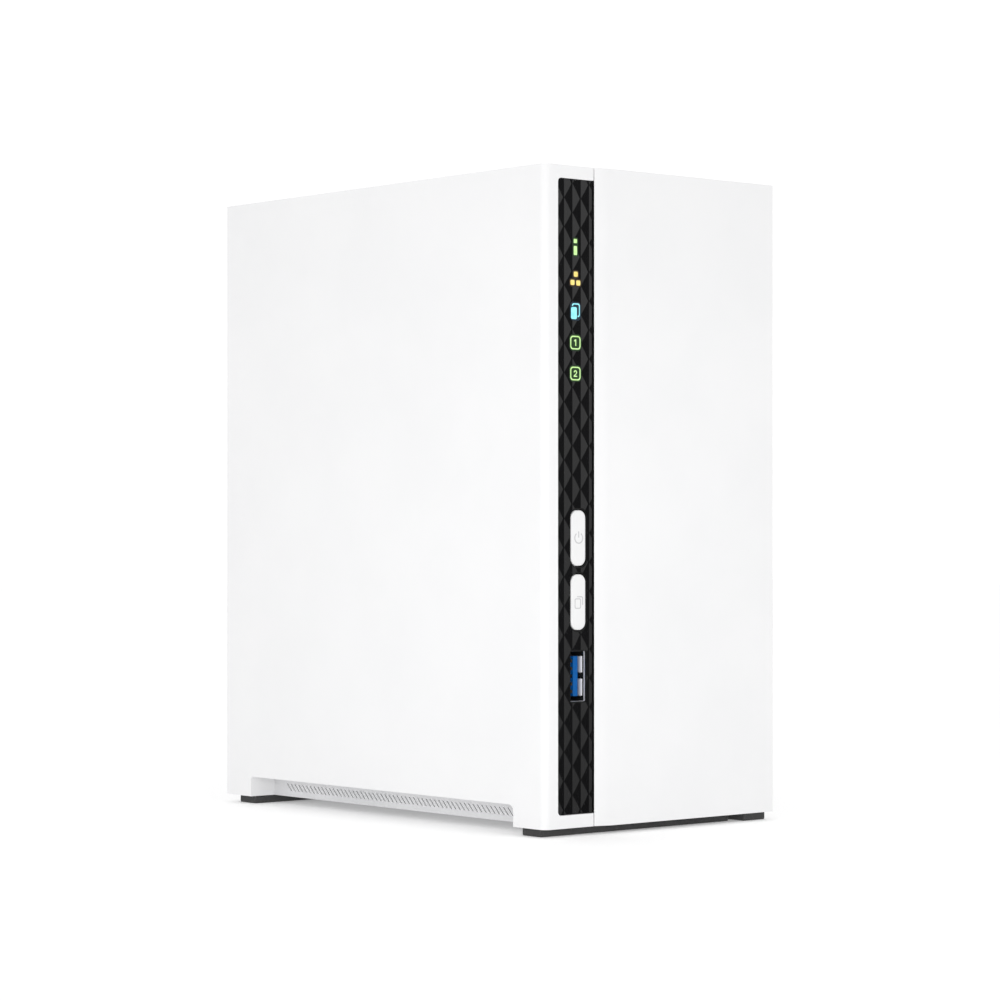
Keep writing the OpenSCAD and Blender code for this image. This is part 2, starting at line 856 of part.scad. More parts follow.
module rear_usb_shell() {
    color("silver")
        for (x = rear_usb_x)
            usb_can(x, rear_usb_z, socket_end - 17, socket_end);
}

module rear_usb_tongues() {
    color("ghostwhite")
        for (x = rear_usb_x)
            translate([0, 2 * socket_end - 17, 0]) mirror([0, 1, 0])
                usb_tongue(x, rear_usb_z, socket_end - 17, socket_end, 1);
}

// Network socket, with a stepped mouth for the plug and its latch.
module network_jack() {
    y0 = socket_end - jack_size.z;
    z0 = jack_z - jack_size.y / 2;
    mouth_w = 11.8;
    mouth_h = 7.2;
    latch_w = 6.2;
    color("lightgray")
        difference() {
            slab([board_x1, y0, z0], [board_x1 + jack_size.x, socket_end, z0 + jack_size.y]);
            slab([board_x1 + 4.6, y0 + 6, jack_z - mouth_w / 2],
                 [board_x1 + 4.6 + mouth_h, socket_end + 1, jack_z + mouth_w / 2]);
            slab([board_x1 + 1.8, y0 + 8, jack_z - latch_w / 2],
                 [board_x1 + 5, socket_end + 1, jack_z + latch_w / 2]);
        }
}

// Barrel inlet for the power supply.
module power_jack() {
    y0 = in_rear - inlet_size.z;
    color([0.1, 0.1, 0.1])
        difference() {
            slab([board_x1, y0, inlet_z - inlet_size.y / 2],
                 [board_x1 + inlet_size.x, in_rear, inlet_z + inlet_size.y / 2]);
            rod_y(inlet_x, inlet_z, inlet_r, in_rear - inlet_depth, in_rear + 1);
            rod_y(inlet_x, inlet_z, inlet_pin_r, y0 + 1, in_rear);
        }
}

module power_jack_pin() {
    color("gold") rod_y(inlet_x, inlet_z, inlet_pin_r, in_rear - inlet_size.z + 1, in_rear - 0.8);
}

// Small switch behind the pinhole, and the pin that moves in it.
module reset_switch() {
    color("dimgray")
        difference() {
            slab([board_x1, reset_y, reset_z - 3], [board_x1 + 4.4, reset_y + 3.5, reset_z + 3]);
            rod_y(reset_x, reset_z, reset_hole_r + screw_fit, reset_y + 1, reset_y + 5);
        }
}

module reset_plunger() {
    color("black") rod_y(reset_x, reset_z, reset_hole_r, reset_y + 1.6, reset_y + 4.6);
}

// ---- Fan -----------------------------------------------------------------------------------

module fan_frame() {
    half = fan_size / 2;
    color([0.13, 0.13, 0.14]) {
        difference() {
            upright(fan_y0, fan_y1) round_rect([fan_x, fan_z], [fan_size, fan_size], 3);
            rod_y(fan_x, fan_z, fan_bore_r, fan_y0 - 1, fan_y1 + 1);
            for (p = fan_screw_places)
                rod_y(p[0], p[1], screw_r + screw_fit, fan_y0 - 1, fan_y1 + 1);
        }
        difference() {
            union() {
                rod_y(fan_x, fan_z, fan_hub_r, fan_y1 - fan_strut_t, fan_y1);
                for (a = [45 : 120 : 285])
                    translate([fan_x, fan_y1 - fan_strut_t, fan_z]) rotate([0, a, 0])
                        translate([0, 0, -1.5]) cube([half - 1.2, fan_strut_t, 3]);
                rod_y(fan_x, fan_z, 3.6, fan_y0 + 4.5, fan_y1);
            }
            rod_y(fan_x, fan_z, fan_shaft_r + screw_fit, fan_y0, fan_y1 + 1);
        }
    }
}

// Coils between the bearing tube and the rotor.
module fan_stator() {
    color("peru")
        difference() {
            rod_y(fan_x, fan_z, 10, fan_y0 + 5, fan_y1 - fan_strut_t);
            rod_y(fan_x, fan_z, 3.6, fan_y0, fan_y1);
        }
}

// Hub cup and blades.
module fan_rotor() {
    y0 = fan_y0 + 0.8;
    y1 = fan_y1 - fan_strut_t - 0.5;
    color([0.16, 0.16, 0.17]) {
        difference() {
            rod_y(fan_x, fan_z, fan_hub_r, y0, y1);
            rod_y(fan_x, fan_z, fan_hub_r - 1.5, y0 + 1.6, y1 + 1);
            rod_y(fan_x, fan_z, fan_shaft_r, y0 + 0.8, y1 + 1);
        }
        intersection() {
            difference() {
                rod_y(fan_x, fan_z, fan_bore_r - 1, y0, y1);
                rod_y(fan_x, fan_z, fan_hub_r - 0.7, y0 - 1, y1 + 1);
            }
            union()
                for (i = [0 : fan_blades - 1])
                    translate([fan_x, (y0 + y1) / 2, fan_z]) rotate([0, i * 360 / fan_blades, 0])
                        rotate([38, 0, 0]) translate([fan_hub_r - 3, -0.7, -11])
                            cube([fan_bore_r, 1.4, 22]);
        }
    }
}

module fan_shaft() {
    color("silver") rod_y(fan_x, fan_z, fan_shaft_r, fan_y0 + 1.6, fan_y1 - 1);
}

module fan_screws() {
    color("silver")
        for (p = fan_screw_places)
            screw_y(p[0], p[1], y_rear - head_t, wall + 6, -1);
}

// Sleeved leads from the fan down to the mainboard.
module fan_lead() {
    color("black") {
        for (i = [0 : len(lead_route) - 2])
            hull()
                for (p = [lead_route[i], lead_route[i + 1]])
                    translate(p) sphere(lead_r, $fn = 16);
        slab([board_x1, 47, 50], [board_x1 + 5, 55, 54.8]);
    }
}

// ---- Drive cage and drives -----------------------------------------------------------------

// Rows of upright slots for the air that the fan draws past the drives.
module cage_slots(middles, count) {
    for (m = middles, z = cage_slot_z, i = [0 : count - 1])
        round_rect([m + (i - (count - 1) / 2) * cage_slot_pitch, z], [cage_slot_w, cage_slot_h], 1.7);
}

// Left wall of the cage, with a slot for the backplane.
module cage_side() {
    color([0.7, 0.72, 0.74])
        difference() {
            slab([cage_x0, cage_y0, cage_z0], [cage_x0 + cage_t, cage_y1, cage_z1]);
            sideways(cage_x0 - 1, cage_x0 + cage_t + 1) {
                cage_slots([drive_y0 + drive_w * 0.28, drive_y0 + drive_w * 0.72], 5);
                round_rect([socket_y0 + 18.5, backplane_z + 0.8], [44, 6], 1);
            }
        }
}

// Front or rear wall of the cage, folded out into a foot that is screwed to the floor.
module cage_end(y0, foot_y0) {
    drive_mid = drive_x0 + drive_t / 2;
    color([0.7, 0.72, 0.74])
        difference() {
            union() {
                slab([cage_x0 + cage_t, y0, cage_z0], [cage_x1, y0 + cage_t, cage_z1]);
                slab([cage_x0 + cage_t, foot_y0, cage_z0],
                     [cage_foot_x, foot_y0 + cage_flange + cage_t, cage_z0 + cage_t]);
            }
            // The cover's flange, lap and lower screw boss pass the right end of the wall
            slab([floor_x - lap - 1, y0 - 1, z_low], [cage_x1 + 1, y0 + 2, cage_z0 + 6]);
            slab([cover_boss_x - cover_boss_r - 0.8, y0 - 1, z_low],
                 [cage_x1 + 1, y0 + 2, cover_boss_z[0] + cover_boss_r + 0.8]);
            upright(y0 - 1, y0 + 2) cage_slots([drive_mid, drive_mid + drive_pitch], 3);
            for (i = [0, 1], h = drive_holes)
                rod_y(drive_x0 + i * drive_pitch + drive_hole_x, drive_z0 + h, screw_r, y0 - 1, y0 + 2);
            for (x = cage_screw_x, y = [cage_y0 - cage_flange / 2, cage_y1 + cage_flange / 2])
                rod_z(x, y, screw_r, cage_z0 - 1, cage_z0 + 3);
        }
}

module cage_front() cage_end(cage_y0, cage_y0 - cage_flange);
module cage_rear() cage_end(cage_y1 - cage_t, cage_y1 - cage_t);

module cage_screws() {
    color("silver")
        for (x = cage_screw_x, y = [cage_y0 - cage_flange / 2, cage_y1 + cage_flange / 2])
            screw_z(x, y, cage_z0 + cage_t, cage_t + 1.2);
}

module drive_screws() {
    color("silver")
        for (i = [0, 1], h = drive_holes) {
            x = drive_x0 + i * drive_pitch + drive_hole_x;
            screw_y(x, drive_z0 + h, cage_y0, 5, 1);
            screw_y(x, drive_z0 + h, cage_y1, 5, -1);
        }
}

// Board under the drives, and the sockets that they plug into.
module backplane() {
    color("darkgreen")
        slab([backplane_x0, socket_y0 - 3, backplane_z],
             [backplane_x1, socket_y1 + 3, backplane_z + board_t]);
}

module backplane_sockets() {
    color("black") {
        for (i = [0, 1]) {
            x = drive_x0 + i * drive_pitch;
            slab([x + 3, socket_y0 + 0.5, backplane_z + board_t], [x + 8, socket_y1 - 0.5, socket_z]);
        }
        slab([board_x1, socket_y0, backplane_z + board_t], [backplane_x0 + 4, socket_y1, backplane_z + 6]);
    }
}

// Cast body of a drive, with a pocket for its connector and tapped holes in both edges.
module drive_casting(i) {
    x0 = drive_x0 + i * drive_pitch;
    mid_y = (drive_y0 + drive_y1) / 2;
    color("lightgray")
        difference() {
            slab([x0 + drive_board_gap, drive_y0, drive_z0],
                 [x0 + drive_t - drive_lid_t, drive_y1, drive_z1]);
            slab([x0, socket_y0, drive_z0 - 1], [x0 + 9, socket_y1, drive_z0 + 6]);
            rod_x(mid_y, drive_z0 + 95, 16, x0 + 1, x0 + drive_board_gap + 1);
            slab([x0 + 1, drive_y0 + 8, drive_z0 + 12],
                 [x0 + drive_board_gap + 1, drive_y1 - 8, drive_z0 + 66]);
            for (h = drive_holes) {
                rod_y(x0 + drive_hole_x, drive_z0 + h, screw_r, drive_y0 - 1, drive_y0 + 5);
                rod_y(x0 + drive_hole_x, drive_z0 + h, screw_r, drive_y1 - 5, drive_y1 + 1);
            }
        }
    color("black")
        slab([x0 + 3, socket_y0 + 0.5, socket_z], [x0 + 9, socket_y1 - 0.5, drive_z0 + 6]);
}

// Pressed steel lid with a raised round.
module drive_lid(i) {
    x1 = drive_x0 + i * drive_pitch + drive_t;
    color([0.8, 0.81, 0.82]) {
        slab([x1 - drive_lid_t, drive_y0 + 1.5, drive_z0 + 1.5], [x1 - 0.4, drive_y1 - 1.5, drive_z1 - 1.5]);
        rod_x((drive_y0 + drive_y1) / 2, drive_z0 + 93, 44, x1 - drive_lid_t, x1);
    }
}

// Circuit board on the left face of a drive.
module drive_board(i) {
    x0 = drive_x0 + i * drive_pitch;
    color("darkgreen")
        difference() {
            slab([x0 + 0.6, drive_y0 + 3, drive_z0 + 7], [x0 + drive_board_gap, drive_y1 - 3, drive_z0 + 72]);
            rod_x(drive_y0 + 8, drive_z0 + 12, 2, x0, x0 + 3);
        }
}

module drive_1_casting() drive_casting(0);
module drive_1_lid() drive_lid(0);
module drive_1_board() drive_board(0);
module drive_2_casting() drive_casting(1);
module drive_2_lid() drive_lid(1);
module drive_2_board() drive_board(1);

// ---- Cover ---------------------------------------------------------------------------------

// Front plate, right side, top and bottom flange in one; it slides off towards the front.
module cover_shell() {
    boss_y1 = in_rear - seam;
    color("white")
        difference() {
            union() {
                linear_extrude_at(z_low, z_high)
                    polygon([
                        [plate_x, frame_y], [plate_x + plate_chamfer, y_front], [x_right, y_front],
                        [x_right, y_front + plate_t], [plate_x + 1.3, y_front + plate_t],
                        [plate_x + 1.3, strip_y - seam], [plate_x, strip_y - seam]
                    ]);
                slab([in_right, y_front + 1, z_low], [x_right, y_rear, z_high]);
                slab([plate_x, y_front + plate_t - 1, in_top], [x_right, y_rear, z_high]);
                slab([flange_x, y_front + 1, z_low], [x_right, y_rear, z_low + wall]);
                for (z = cover_boss_z) {
                    rod_y(cover_boss_x, z, cover_boss_r, boss_y1 - cover_boss_len, boss_y1);
                    slab([cover_boss_x, boss_y1 - cover_boss_len, z - 1.2], [in_right + 1, boss_y1, z + 1.2]);
                }
            }
            for (z = cover_boss_z)
                rod_y(cover_boss_x, z, screw_r + screw_fit, boss_y1 - cover_boss_len + 2, boss_y1 + 1);
        }
}

module linear_extrude_at(z0, z1) {
    translate([0, 0, z0]) linear_extrude(z1 - z0) children();
}

module cover_screws() {
    color("silver")
        for (p = cover_screw_places)
            screw_y(p[0], p[1], y_rear - head_t, cover_screw_len, -1);
}

// ---- Feet ----------------------------------------------------------------------------------

module foot(x0, x1, y0) {
    color([0.27, 0.27, 0.28]) slab([x0, y0, 0], [x1, y0 + foot_d, foot_h]);
}

module front_foot_bar() foot(foot_left_x, foot_right_x, y_front + foot_front);
module rear_foot_bar() foot(foot_left_x, foot_right_x, y_rear - foot_rear - foot_d);
module right_front_foot() foot(small_foot_x0, small_foot_x1, y_front + foot_front - 2.9);
module right_rear_foot() foot(small_foot_x0, small_foot_x1, y_rear - foot_rear - foot_d);

left_shell();
base_tray();
rear_panel();
status_strip();
status_lens();
network_lens();
copy_lens();
disk_1_lens();
disk_2_lens();
light_guide();
front_board();
front_switches();
power_button();
power_plunger();
copy_button();
copy_plunger();
mainboard();
processor();
heatsink();
memory_chips();
coin_cell();
buzzer();
capacitors();
board_screws();
standoffs();
front_usb_shell();
front_usb_tongue();
front_usb_contacts();
rear_usb_shell();
rear_usb_tongues();
network_jack();
power_jack();
power_jack_pin();
reset_switch();
reset_plunger();
fan_frame();
fan_stator();
fan_rotor();
fan_shaft();
fan_screws();
fan_lead();
cage_side();
cage_front();
cage_rear();
cage_screws();
drive_screws();
backplane();
backplane_sockets();
drive_1_casting();
drive_1_lid();
drive_1_board();
drive_2_casting();
drive_2_lid();
drive_2_board();
front_foot_bar();
rear_foot_bar();
cover_shell();
right_front_foot();
right_rear_foot();
cover_screws();
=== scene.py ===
"""Finishes and fine detail of a two-bay network storage unit, built round its CAD frame."""

import json
import math
import random

import bmesh
import bpy
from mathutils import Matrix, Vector


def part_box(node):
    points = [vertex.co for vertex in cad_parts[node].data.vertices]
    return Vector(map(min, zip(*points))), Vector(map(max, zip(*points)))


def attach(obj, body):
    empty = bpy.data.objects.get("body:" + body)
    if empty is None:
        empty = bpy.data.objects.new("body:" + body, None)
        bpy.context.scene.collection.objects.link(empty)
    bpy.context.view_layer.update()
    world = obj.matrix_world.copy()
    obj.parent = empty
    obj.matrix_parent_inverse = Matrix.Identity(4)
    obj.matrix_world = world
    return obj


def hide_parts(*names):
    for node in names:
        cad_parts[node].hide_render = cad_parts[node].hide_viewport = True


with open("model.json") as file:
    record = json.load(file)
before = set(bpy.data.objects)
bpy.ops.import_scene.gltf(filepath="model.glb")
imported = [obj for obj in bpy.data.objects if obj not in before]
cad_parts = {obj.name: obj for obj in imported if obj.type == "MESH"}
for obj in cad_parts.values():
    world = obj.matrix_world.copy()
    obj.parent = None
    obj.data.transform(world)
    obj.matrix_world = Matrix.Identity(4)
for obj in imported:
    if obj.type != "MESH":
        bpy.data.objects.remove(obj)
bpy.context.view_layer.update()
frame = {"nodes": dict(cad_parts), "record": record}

MM = 0.001
RECORD = frame["record"]
SLOT = {part["node"]: part["material_slot"] for part in RECORD["subparts"]}
BODY = {
    node: body
    for body, nodes in RECORD["behaviour"]["bodies"].items()
    for node in nodes
}


# ---- Shader nodes as Python expressions ----------------------------------------------------


class Value:
    """The output of a shader node, which Python arithmetic joins to Math nodes."""

    def __init__(self, tree, socket):
        self.tree = tree
        self.socket = socket

    def math(self, operation, *terms):
        inputs = dict(enumerate(terms))
        return self.tree.add("ShaderNodeMath", {"operation": operation}, inputs)

    def __add__(self, other):
        return self.math("ADD", self, other)

    __radd__ = __add__

    def __sub__(self, other):
        return self.math("SUBTRACT", self, other)

    def __rsub__(self, other):
        return self.math("SUBTRACT", other, self)

    def __mul__(self, other):
        return self.math("MULTIPLY", self, other)

    __rmul__ = __mul__

    def __truediv__(self, other):
        return self.math("DIVIDE", self, other)

    def __lt__(self, other):
        return self.math("LESS_THAN", self, other)

    def __mod__(self, other):
        return self.math("FLOORED_MODULO", self, other)

    def __abs__(self):
        return self.math("ABSOLUTE", self)

    def most(self, other):
        return self.math("MAXIMUM", self, other)

    def wave(self):
        return self.math("SINE", self)

    def ease(self, start, end):
        """0 before start, 1 after end, with a smooth run between."""
        settings = {"interpolation_type": "SMOOTHSTEP", "clamp": True}
        inputs = {"Value": self, "From Min": start, "From Max": end}
        return self.tree.add("ShaderNodeMapRange", settings, inputs)


class Tree:
    """A node tree with one way to add a node: its type, its settings, then its inputs."""

    def __init__(self, owner):
        owner.use_nodes = True
        self.nodes = owner.node_tree.nodes
        self.links = owner.node_tree.links

    def add(self, kind, settings=None, inputs=None, output=0):
        node = self.nodes.new(kind)
        for name, value in (settings or {}).items():
            if name == "stops":
                self.set_stops(node.color_ramp, value)
            else:
                setattr(node, name, value)
        for key, value in (inputs or {}).items():
            self.feed(node.inputs[key], value)
        return Value(self, node.outputs[output])

    def feed(self, socket, value):
        if isinstance(value, Value):
            self.links.new(value.socket, socket)
        else:
            socket.default_value = value

    @staticmethod
    def set_stops(ramp, stops):
        while len(ramp.elements) < len(stops):
            ramp.elements.new(1.0)
        for element, (place, shade) in zip(ramp.elements, stops):
            element.position = place
            element.color = shade

    def place(self):
        """Where a point is on the object, in metres, so that a finish moves with its piece."""
        return self.add("ShaderNodeTexCoord", output="Object")

    def stretched(self, scale):
        return self.add("ShaderNodeMapping", None, {"Vector": self.place(), "Scale": scale})

    def axis(self, name):
        return self.add("ShaderNodeSeparateXYZ", None, {0: self.place()}, name)

    def noise(self, size_mm, detail=3.0, rough=0.55, at=None, warp=0.0):
        """Cloudy noise from 0 to 1 whose blobs are about size_mm across."""
        inputs = {
            "Vector": at or self.place(),
            "Scale": 1.0 / (size_mm * MM),
            "Detail": detail,
            "Roughness": rough,
            "Distortion": warp,
        }
        return self.add("ShaderNodeTexNoise", None, inputs, "Fac")

    def cells(self, size_mm, feature="F1", output="Distance", at=None):
        inputs = {"Vector": at or self.place(), "Scale": 1.0 / (size_mm * MM)}
        return self.add("ShaderNodeTexVoronoi", {"feature": feature}, inputs, output)

    def blend(self, share, first, second):
        """A colour between two colours."""
        node = self.nodes.new("ShaderNodeMix")
        node.data_type = "RGBA"
        for number, value in ((0, share), (6, first), (7, second)):
            self.feed(node.inputs[number], value)
        return Value(self, node.outputs[2])

    def bump(self, height, depth_mm, strength=1.0, under=None):
        inputs = {"Height": height, "Distance": depth_mm * MM, "Strength": strength}
        if under is not None:
            inputs["Normal"] = under
        return self.add("ShaderNodeBump", None, inputs, "Normal")


def rgba(red, green=None, blue=None):
    if green is None:
        return (red, red, red, 1.0)
    return (red, green, blue, 1.0)


def dimmed(colour, share):
    return tuple(share * part for part in colour[:3]) + (1.0,)


class Finish(Tree):
    """A material: its nodes and the Principled shader they feed."""

    def __init__(self, name, **constants):
        self.material = bpy.data.materials.new(name)
        super().__init__(self.material)
        self.shader = self.nodes["Principled BSDF"]
        for socket, value in constants.items():
            self.set(socket.replace("_", " "), value)

    def set(self, socket, value):
        self.feed(self.shader.inputs[socket], value)


# ---- Finishes ------------------------------------------------------------------------------


def moulded(name, pale, shade, rough, grain_mm=0.22, grain_depth=0.006, spread=0.05):
    """Moulded plastic: a fine spark-eroded grain, faint flow clouds and uneven polish."""
    f = Finish(name)
    clouds = f.noise(38.0, 4.0)
    grain = f.noise(grain_mm, 2.0)
    specks = f.cells(grain_mm * 1.7)
    f.set("Base Color", f.blend(clouds.ease(0.3, 0.7), pale, shade))
    f.set("Roughness", rough - spread / 2 + spread * f.noise(9.0, 3.0))
    f.set("Normal", f.bump(grain + 0.6 * specks, grain_depth))
    return f


def white_case():
    return moulded("White_case", rgba(0.885, 0.885, 0.89), rgba(0.865, 0.866, 0.872), 0.5).material


def white_button():
    f = moulded("White_button", rgba(0.85), rgba(0.835, 0.835, 0.84), 0.38, 0.12, 0.003)
    return f.material


def shaded_button_mark():
    """The tops of the raised marks, a little greyer than the caps: painted shade standing in for the
    shading along the marks' raised edges.
    """
    f = moulded("Button_mark_painted_shade", rgba(0.6, 0.6, 0.61), rgba(0.55, 0.55, 0.56), 0.45, 0.12, 0.003)
    return f.material


def blue_tongue():
    f = moulded("Blue_tongue", rgba(0.002, 0.12, 0.42), rgba(0.001, 0.095, 0.34), 0.45)
    f.set("Specular IOR Level", 0.2)
    return f.material


def painted_shade_nickel():
    """Painted shade: dark metal for the inner faces of a socket's shell, standing in for the shadow inside
    its mouth.
    """
    return brushed("Painted_shade_nickel", rgba(0.03, 0.03, 0.034), rgba(0.018, 0.018, 0.02), 0.5, metallic=0.6)


def grey_plastic():
    return moulded("Grey_plastic", rgba(0.78, 0.78, 0.79), rgba(0.73, 0.735, 0.745), 0.55).material


def black_gloss():
    """Tinted black facets with faint polishing marks."""
    f = Finish("Black_gloss", IOR=1.46)
    haze = f.noise(16.0, 4.0)
    marks = f.noise(0.5, 2.0, at=f.stretched((1.0, 1.0, 0.06)))
    f.set("Base Color", f.blend(haze, rgba(0.0035, 0.0035, 0.004), rgba(0.006, 0.006, 0.0065)))
    f.set("Roughness", 0.05 + 0.04 * haze + 0.03 * marks)
    f.set("Normal", f.bump(marks, 0.0004))
    return f.material


def black_flat():
    f = Finish("Black_border", IOR=1.42)
    haze = f.noise(4.0, 3.0)
    f.set("Base Color", f.blend(haze, rgba(0.003), rgba(0.006)))
    f.set("Roughness", 0.3 + 0.15 * haze)
    return f.material


def lit_lens(name, tint, glow):
    """A tinted lens with a lamp behind it: brighter in the middle of each stroke."""
    f = Finish(name, Roughness=0.25, Emission_Strength=1.0)
    cloud = f.noise(1.1, 2.0)
    f.set("Base Color", f.blend(cloud, dimmed(tint, 0.3), dimmed(tint, 0.2)))
    f.set("Emission Color", f.blend(cloud.ease(0.35, 0.7), glow, tint))
    return f.material


def rubber():
    f = Finish("Grey_rubber")
    cloud = f.noise(6.0, 4.0)
    dust = f.noise(0.35, 3.0).ease(0.52, 0.75)
    f.set("Base Color", f.blend(dust * 0.5, f.blend(cloud, rgba(0.044), rgba(0.055)), rgba(0.1)))
    f.set("Roughness", 0.62 + 0.2 * cloud)
    f.set("Normal", f.bump(f.noise(0.3, 3.0) + dust, 0.012))
    return f.material


def black_moulded(name, deep, rough):
    return moulded(name, rgba(deep), rgba(deep * 1.5), rough, 0.3, 0.012, 0.12).material


def brushed(name, pale, shade, rough, along=(0.04, 1.0, 1.0), metallic=1.0):
    """Rolled or brushed metal: fine lines along one way and cloudy dulling."""
    f = Finish(name)
    lines = f.noise(0.22, 3.0, 0.7, at=f.stretched(along))
    cloud = f.noise(11.0, 4.0)
    f.set("Metallic", metallic)
    f.set("Base Color", f.blend(cloud, pale, shade))
    f.set("Roughness", rough + 0.14 * lines + 0.1 * cloud)
    f.set("Normal", f.bump(lines, 0.0025))
    return f.material


def galvanised():
    """Zinc-coated sheet with its pale and dark crystals."""
    f = Finish("Cage_steel", Metallic=1.0)
    crystals = f.cells(2.2, output="Color")
    grey = f.add("ShaderNodeSeparateColor", None, {0: crystals}, "Red")
    f.set("Base Color", f.blend(grey, rgba(0.66, 0.67, 0.69), rgba(0.78, 0.79, 0.8)))
    f.set("Roughness", 0.4 + 0.12 * grey + 0.08 * f.noise(0.8))
    f.set("Normal", f.bump(f.noise(0.4, 2.0), 0.004))
    return f.material


def cast_alloy():
    f = Finish("Cast_alloy", Metallic=1.0)
    grain = f.noise(0.5, 4.0, 0.7)
    cloud = f.noise(14.0, 4.0)
    f.set("Base Color", f.blend(cloud, rgba(0.48, 0.49, 0.5), rgba(0.6, 0.61, 0.62)))
    f.set("Roughness", 0.42 + 0.2 * grain)
    f.set("Normal", f.bump(grain, 0.03))
    return f.material


def circuit_board():
    """Solder mask over copper: runs of track, filled areas and tinned vias."""
    f = Finish("Circuit_board", Coat_Roughness=0.12)
    across, up = f.axis("Y"), f.axis("Z")
    cloud = f.noise(16.0, 2.0)
    step = 1.27 * MM
    lane = abs(((up + 2 * MM * cloud.ease(0.4, 0.6)) % step) / step - 0.5)
    column = abs(((across + 3 * MM * cloud.ease(0.5, 0.55)) % (2 * step)) / (2 * step) - 0.5)
    zone = f.noise(22.0, 1.0).ease(0.47, 0.5)
    track = (lane < 0.16) * zone + (column < 0.1) * (1.0 - zone)
    pour = f.noise(12.0, 1.0).ease(0.56, 0.57)
    copper = track.most(pour * 0.8)
    spots = f.cells(2.6)
    via = (spots < 0.11) * f.noise(9.0).ease(0.45, 0.5)
    mask = f.blend(copper, rgba(0.006, 0.045, 0.022), rgba(0.014, 0.115, 0.05))
    f.set("Base Color", f.blend(via, mask, rgba(0.62, 0.6, 0.52)))
    f.set("Metallic", via * 0.9)
    f.set("Roughness", 0.32 + 0.1 * cloud - 0.05 * via)
    f.set("Coat Weight", 0.5 - 0.5 * via)
    f.set("Normal", f.bump(copper, 0.03, 0.6))
    return f.material


def chip_black():
    f = Finish("Chip_black")
    grain = f.noise(0.12, 2.0)
    f.set("Base Color", f.blend(f.noise(3.0), rgba(0.013), rgba(0.02)))
    f.set("Roughness", 0.45 + 0.15 * grain)
    f.set("Normal", f.bump(grain, 0.01))
    return f.material


def clear_plastic():
    f = Finish("Clear_plastic", IOR=1.49, Transmission_Weight=0.85)
    cloud = f.noise(5.0)
    f.set("Base Color", f.blend(cloud, rgba(0.9, 0.94, 0.95), rgba(0.82, 0.88, 0.9)))
    f.set("Roughness", 0.08 + 0.12 * cloud)
    return f.material


def lead_sleeve():
    """Braided sleeve: strands crossing both ways."""
    f = Finish("Lead_sleeve")
    y, z = f.axis("Y"), f.axis("Z")
    turn = 2 * math.pi / (0.7 * MM)
    weave = ((y + z) * turn).wave() * ((y - z) * turn).wave()
    f.set("Base Color", f.blend(weave.ease(-0.3, 0.5), rgba(0.008), rgba(0.05)))
    f.set("Roughness", 0.6 + 0.1 * weave)
    f.set("Normal", f.bump(weave, 0.06))
    return f.material


def wound_copper():
    f = Finish("Copper_coil", Metallic=1.0)
    y = f.axis("Y")
    turns = (y * (2 * math.pi / (0.35 * MM))).wave()
    f.set("Base Color", f.blend(f.noise(3.0), rgba(0.6, 0.27, 0.12), rgba(0.75, 0.4, 0.2)))
    f.set("Roughness", 0.3 + 0.1 * f.noise(1.5))
    f.set("Normal", f.bump(turns, 0.08))
    return f.material


def paper():
    """Coated paper with faint fibres and a rubbed sheen."""
    f = Finish("Label_paper")
    fibres = f.noise(0.6, 4.0, 0.7, at=f.stretched((1.0, 0.3, 1.0)))
    f.set("Base Color", f.blend(fibres, rgba(0.8, 0.8, 0.79), rgba(0.72, 0.72, 0.71)))
    f.set("Roughness", 0.42 + 0.2 * f.noise(7.0))
    f.set("Normal", f.bump(fibres, 0.01))
    return f.material


PALE_STEEL = (rgba(0.88, 0.88, 0.92), rgba(0.8, 0.8, 0.85))
LID_STEEL = (rgba(0.68, 0.69, 0.71), rgba(0.6, 0.61, 0.63))
ALUMINIUM = (rgba(0.72), rgba(0.62, 0.63, 0.64))
ZINC = (rgba(0.62, 0.63, 0.62), rgba(0.5, 0.5, 0.49))
BRASS = (rgba(0.74, 0.56, 0.25), rgba(0.6, 0.43, 0.17))
GOLD = (rgba(0.83, 0.62, 0.28), rgba(0.7, 0.5, 0.2))
FINISHES = {
    "white_case": white_case(),
    "white_button": white_button(),
    "grey_plastic": grey_plastic(),
    "black_gloss": black_gloss(),
    "green_lens": lit_lens("Green_lens", rgba(0.5, 0.8, 0.27), rgba(0.6, 0.88, 0.4)),
    "amber_lens": lit_lens("Amber_lens", rgba(0.82, 0.62, 0.16), rgba(0.88, 0.74, 0.26)),
    "blue_lens": lit_lens("Blue_lens", rgba(0.24, 0.74, 0.84), rgba(0.34, 0.86, 0.9)),
    "clear_plastic": clear_plastic(),
    "circuit_board": circuit_board(),
    "black_plastic": black_moulded("Black_plastic", 0.016, 0.5),
    "chip_black": chip_black(),
    "capacitor_sleeve": black_moulded("Capacitor_sleeve", 0.03, 0.3),
    "bare_aluminium": brushed("Bare_aluminium", *ALUMINIUM, 0.3, (1.0, 1.0, 0.04)),
    "cell_steel": brushed("Bright_steel", rgba(0.66), rgba(0.56), 0.22),
    "zinc_screws": brushed("Zinc_screws", *ZINC, 0.26),
    "brass_parts": brushed("Turned_brass", *BRASS, 0.3),
    "socket_steel": brushed("Socket_steel", *PALE_STEEL, 0.34, metallic=0.45),
    "blue_tongue": blue_tongue(),
    "white_tongue": moulded("White_tongue", rgba(0.75), rgba(0.68), 0.45).material,
    "gold_contacts": brushed("Gold_contacts", *GOLD, 0.2),
    "fan_plastic": black_moulded("Fan_plastic", 0.014, 0.42),
    "copper_coil": wound_copper(),
    "lead_sleeve": lead_sleeve(),
    "cage_steel": galvanised(),
    "cast_alloy": cast_alloy(),
    "lid_steel": brushed("Lid_steel", *LID_STEEL, 0.25, (1.0, 1.0, 0.03)),
    "grey_rubber": rubber(),
}
BORDER = black_flat()
PAPER = paper()
INSIDE_PAINTED_SHADE = painted_shade_nickel()
MARK = shaded_button_mark()


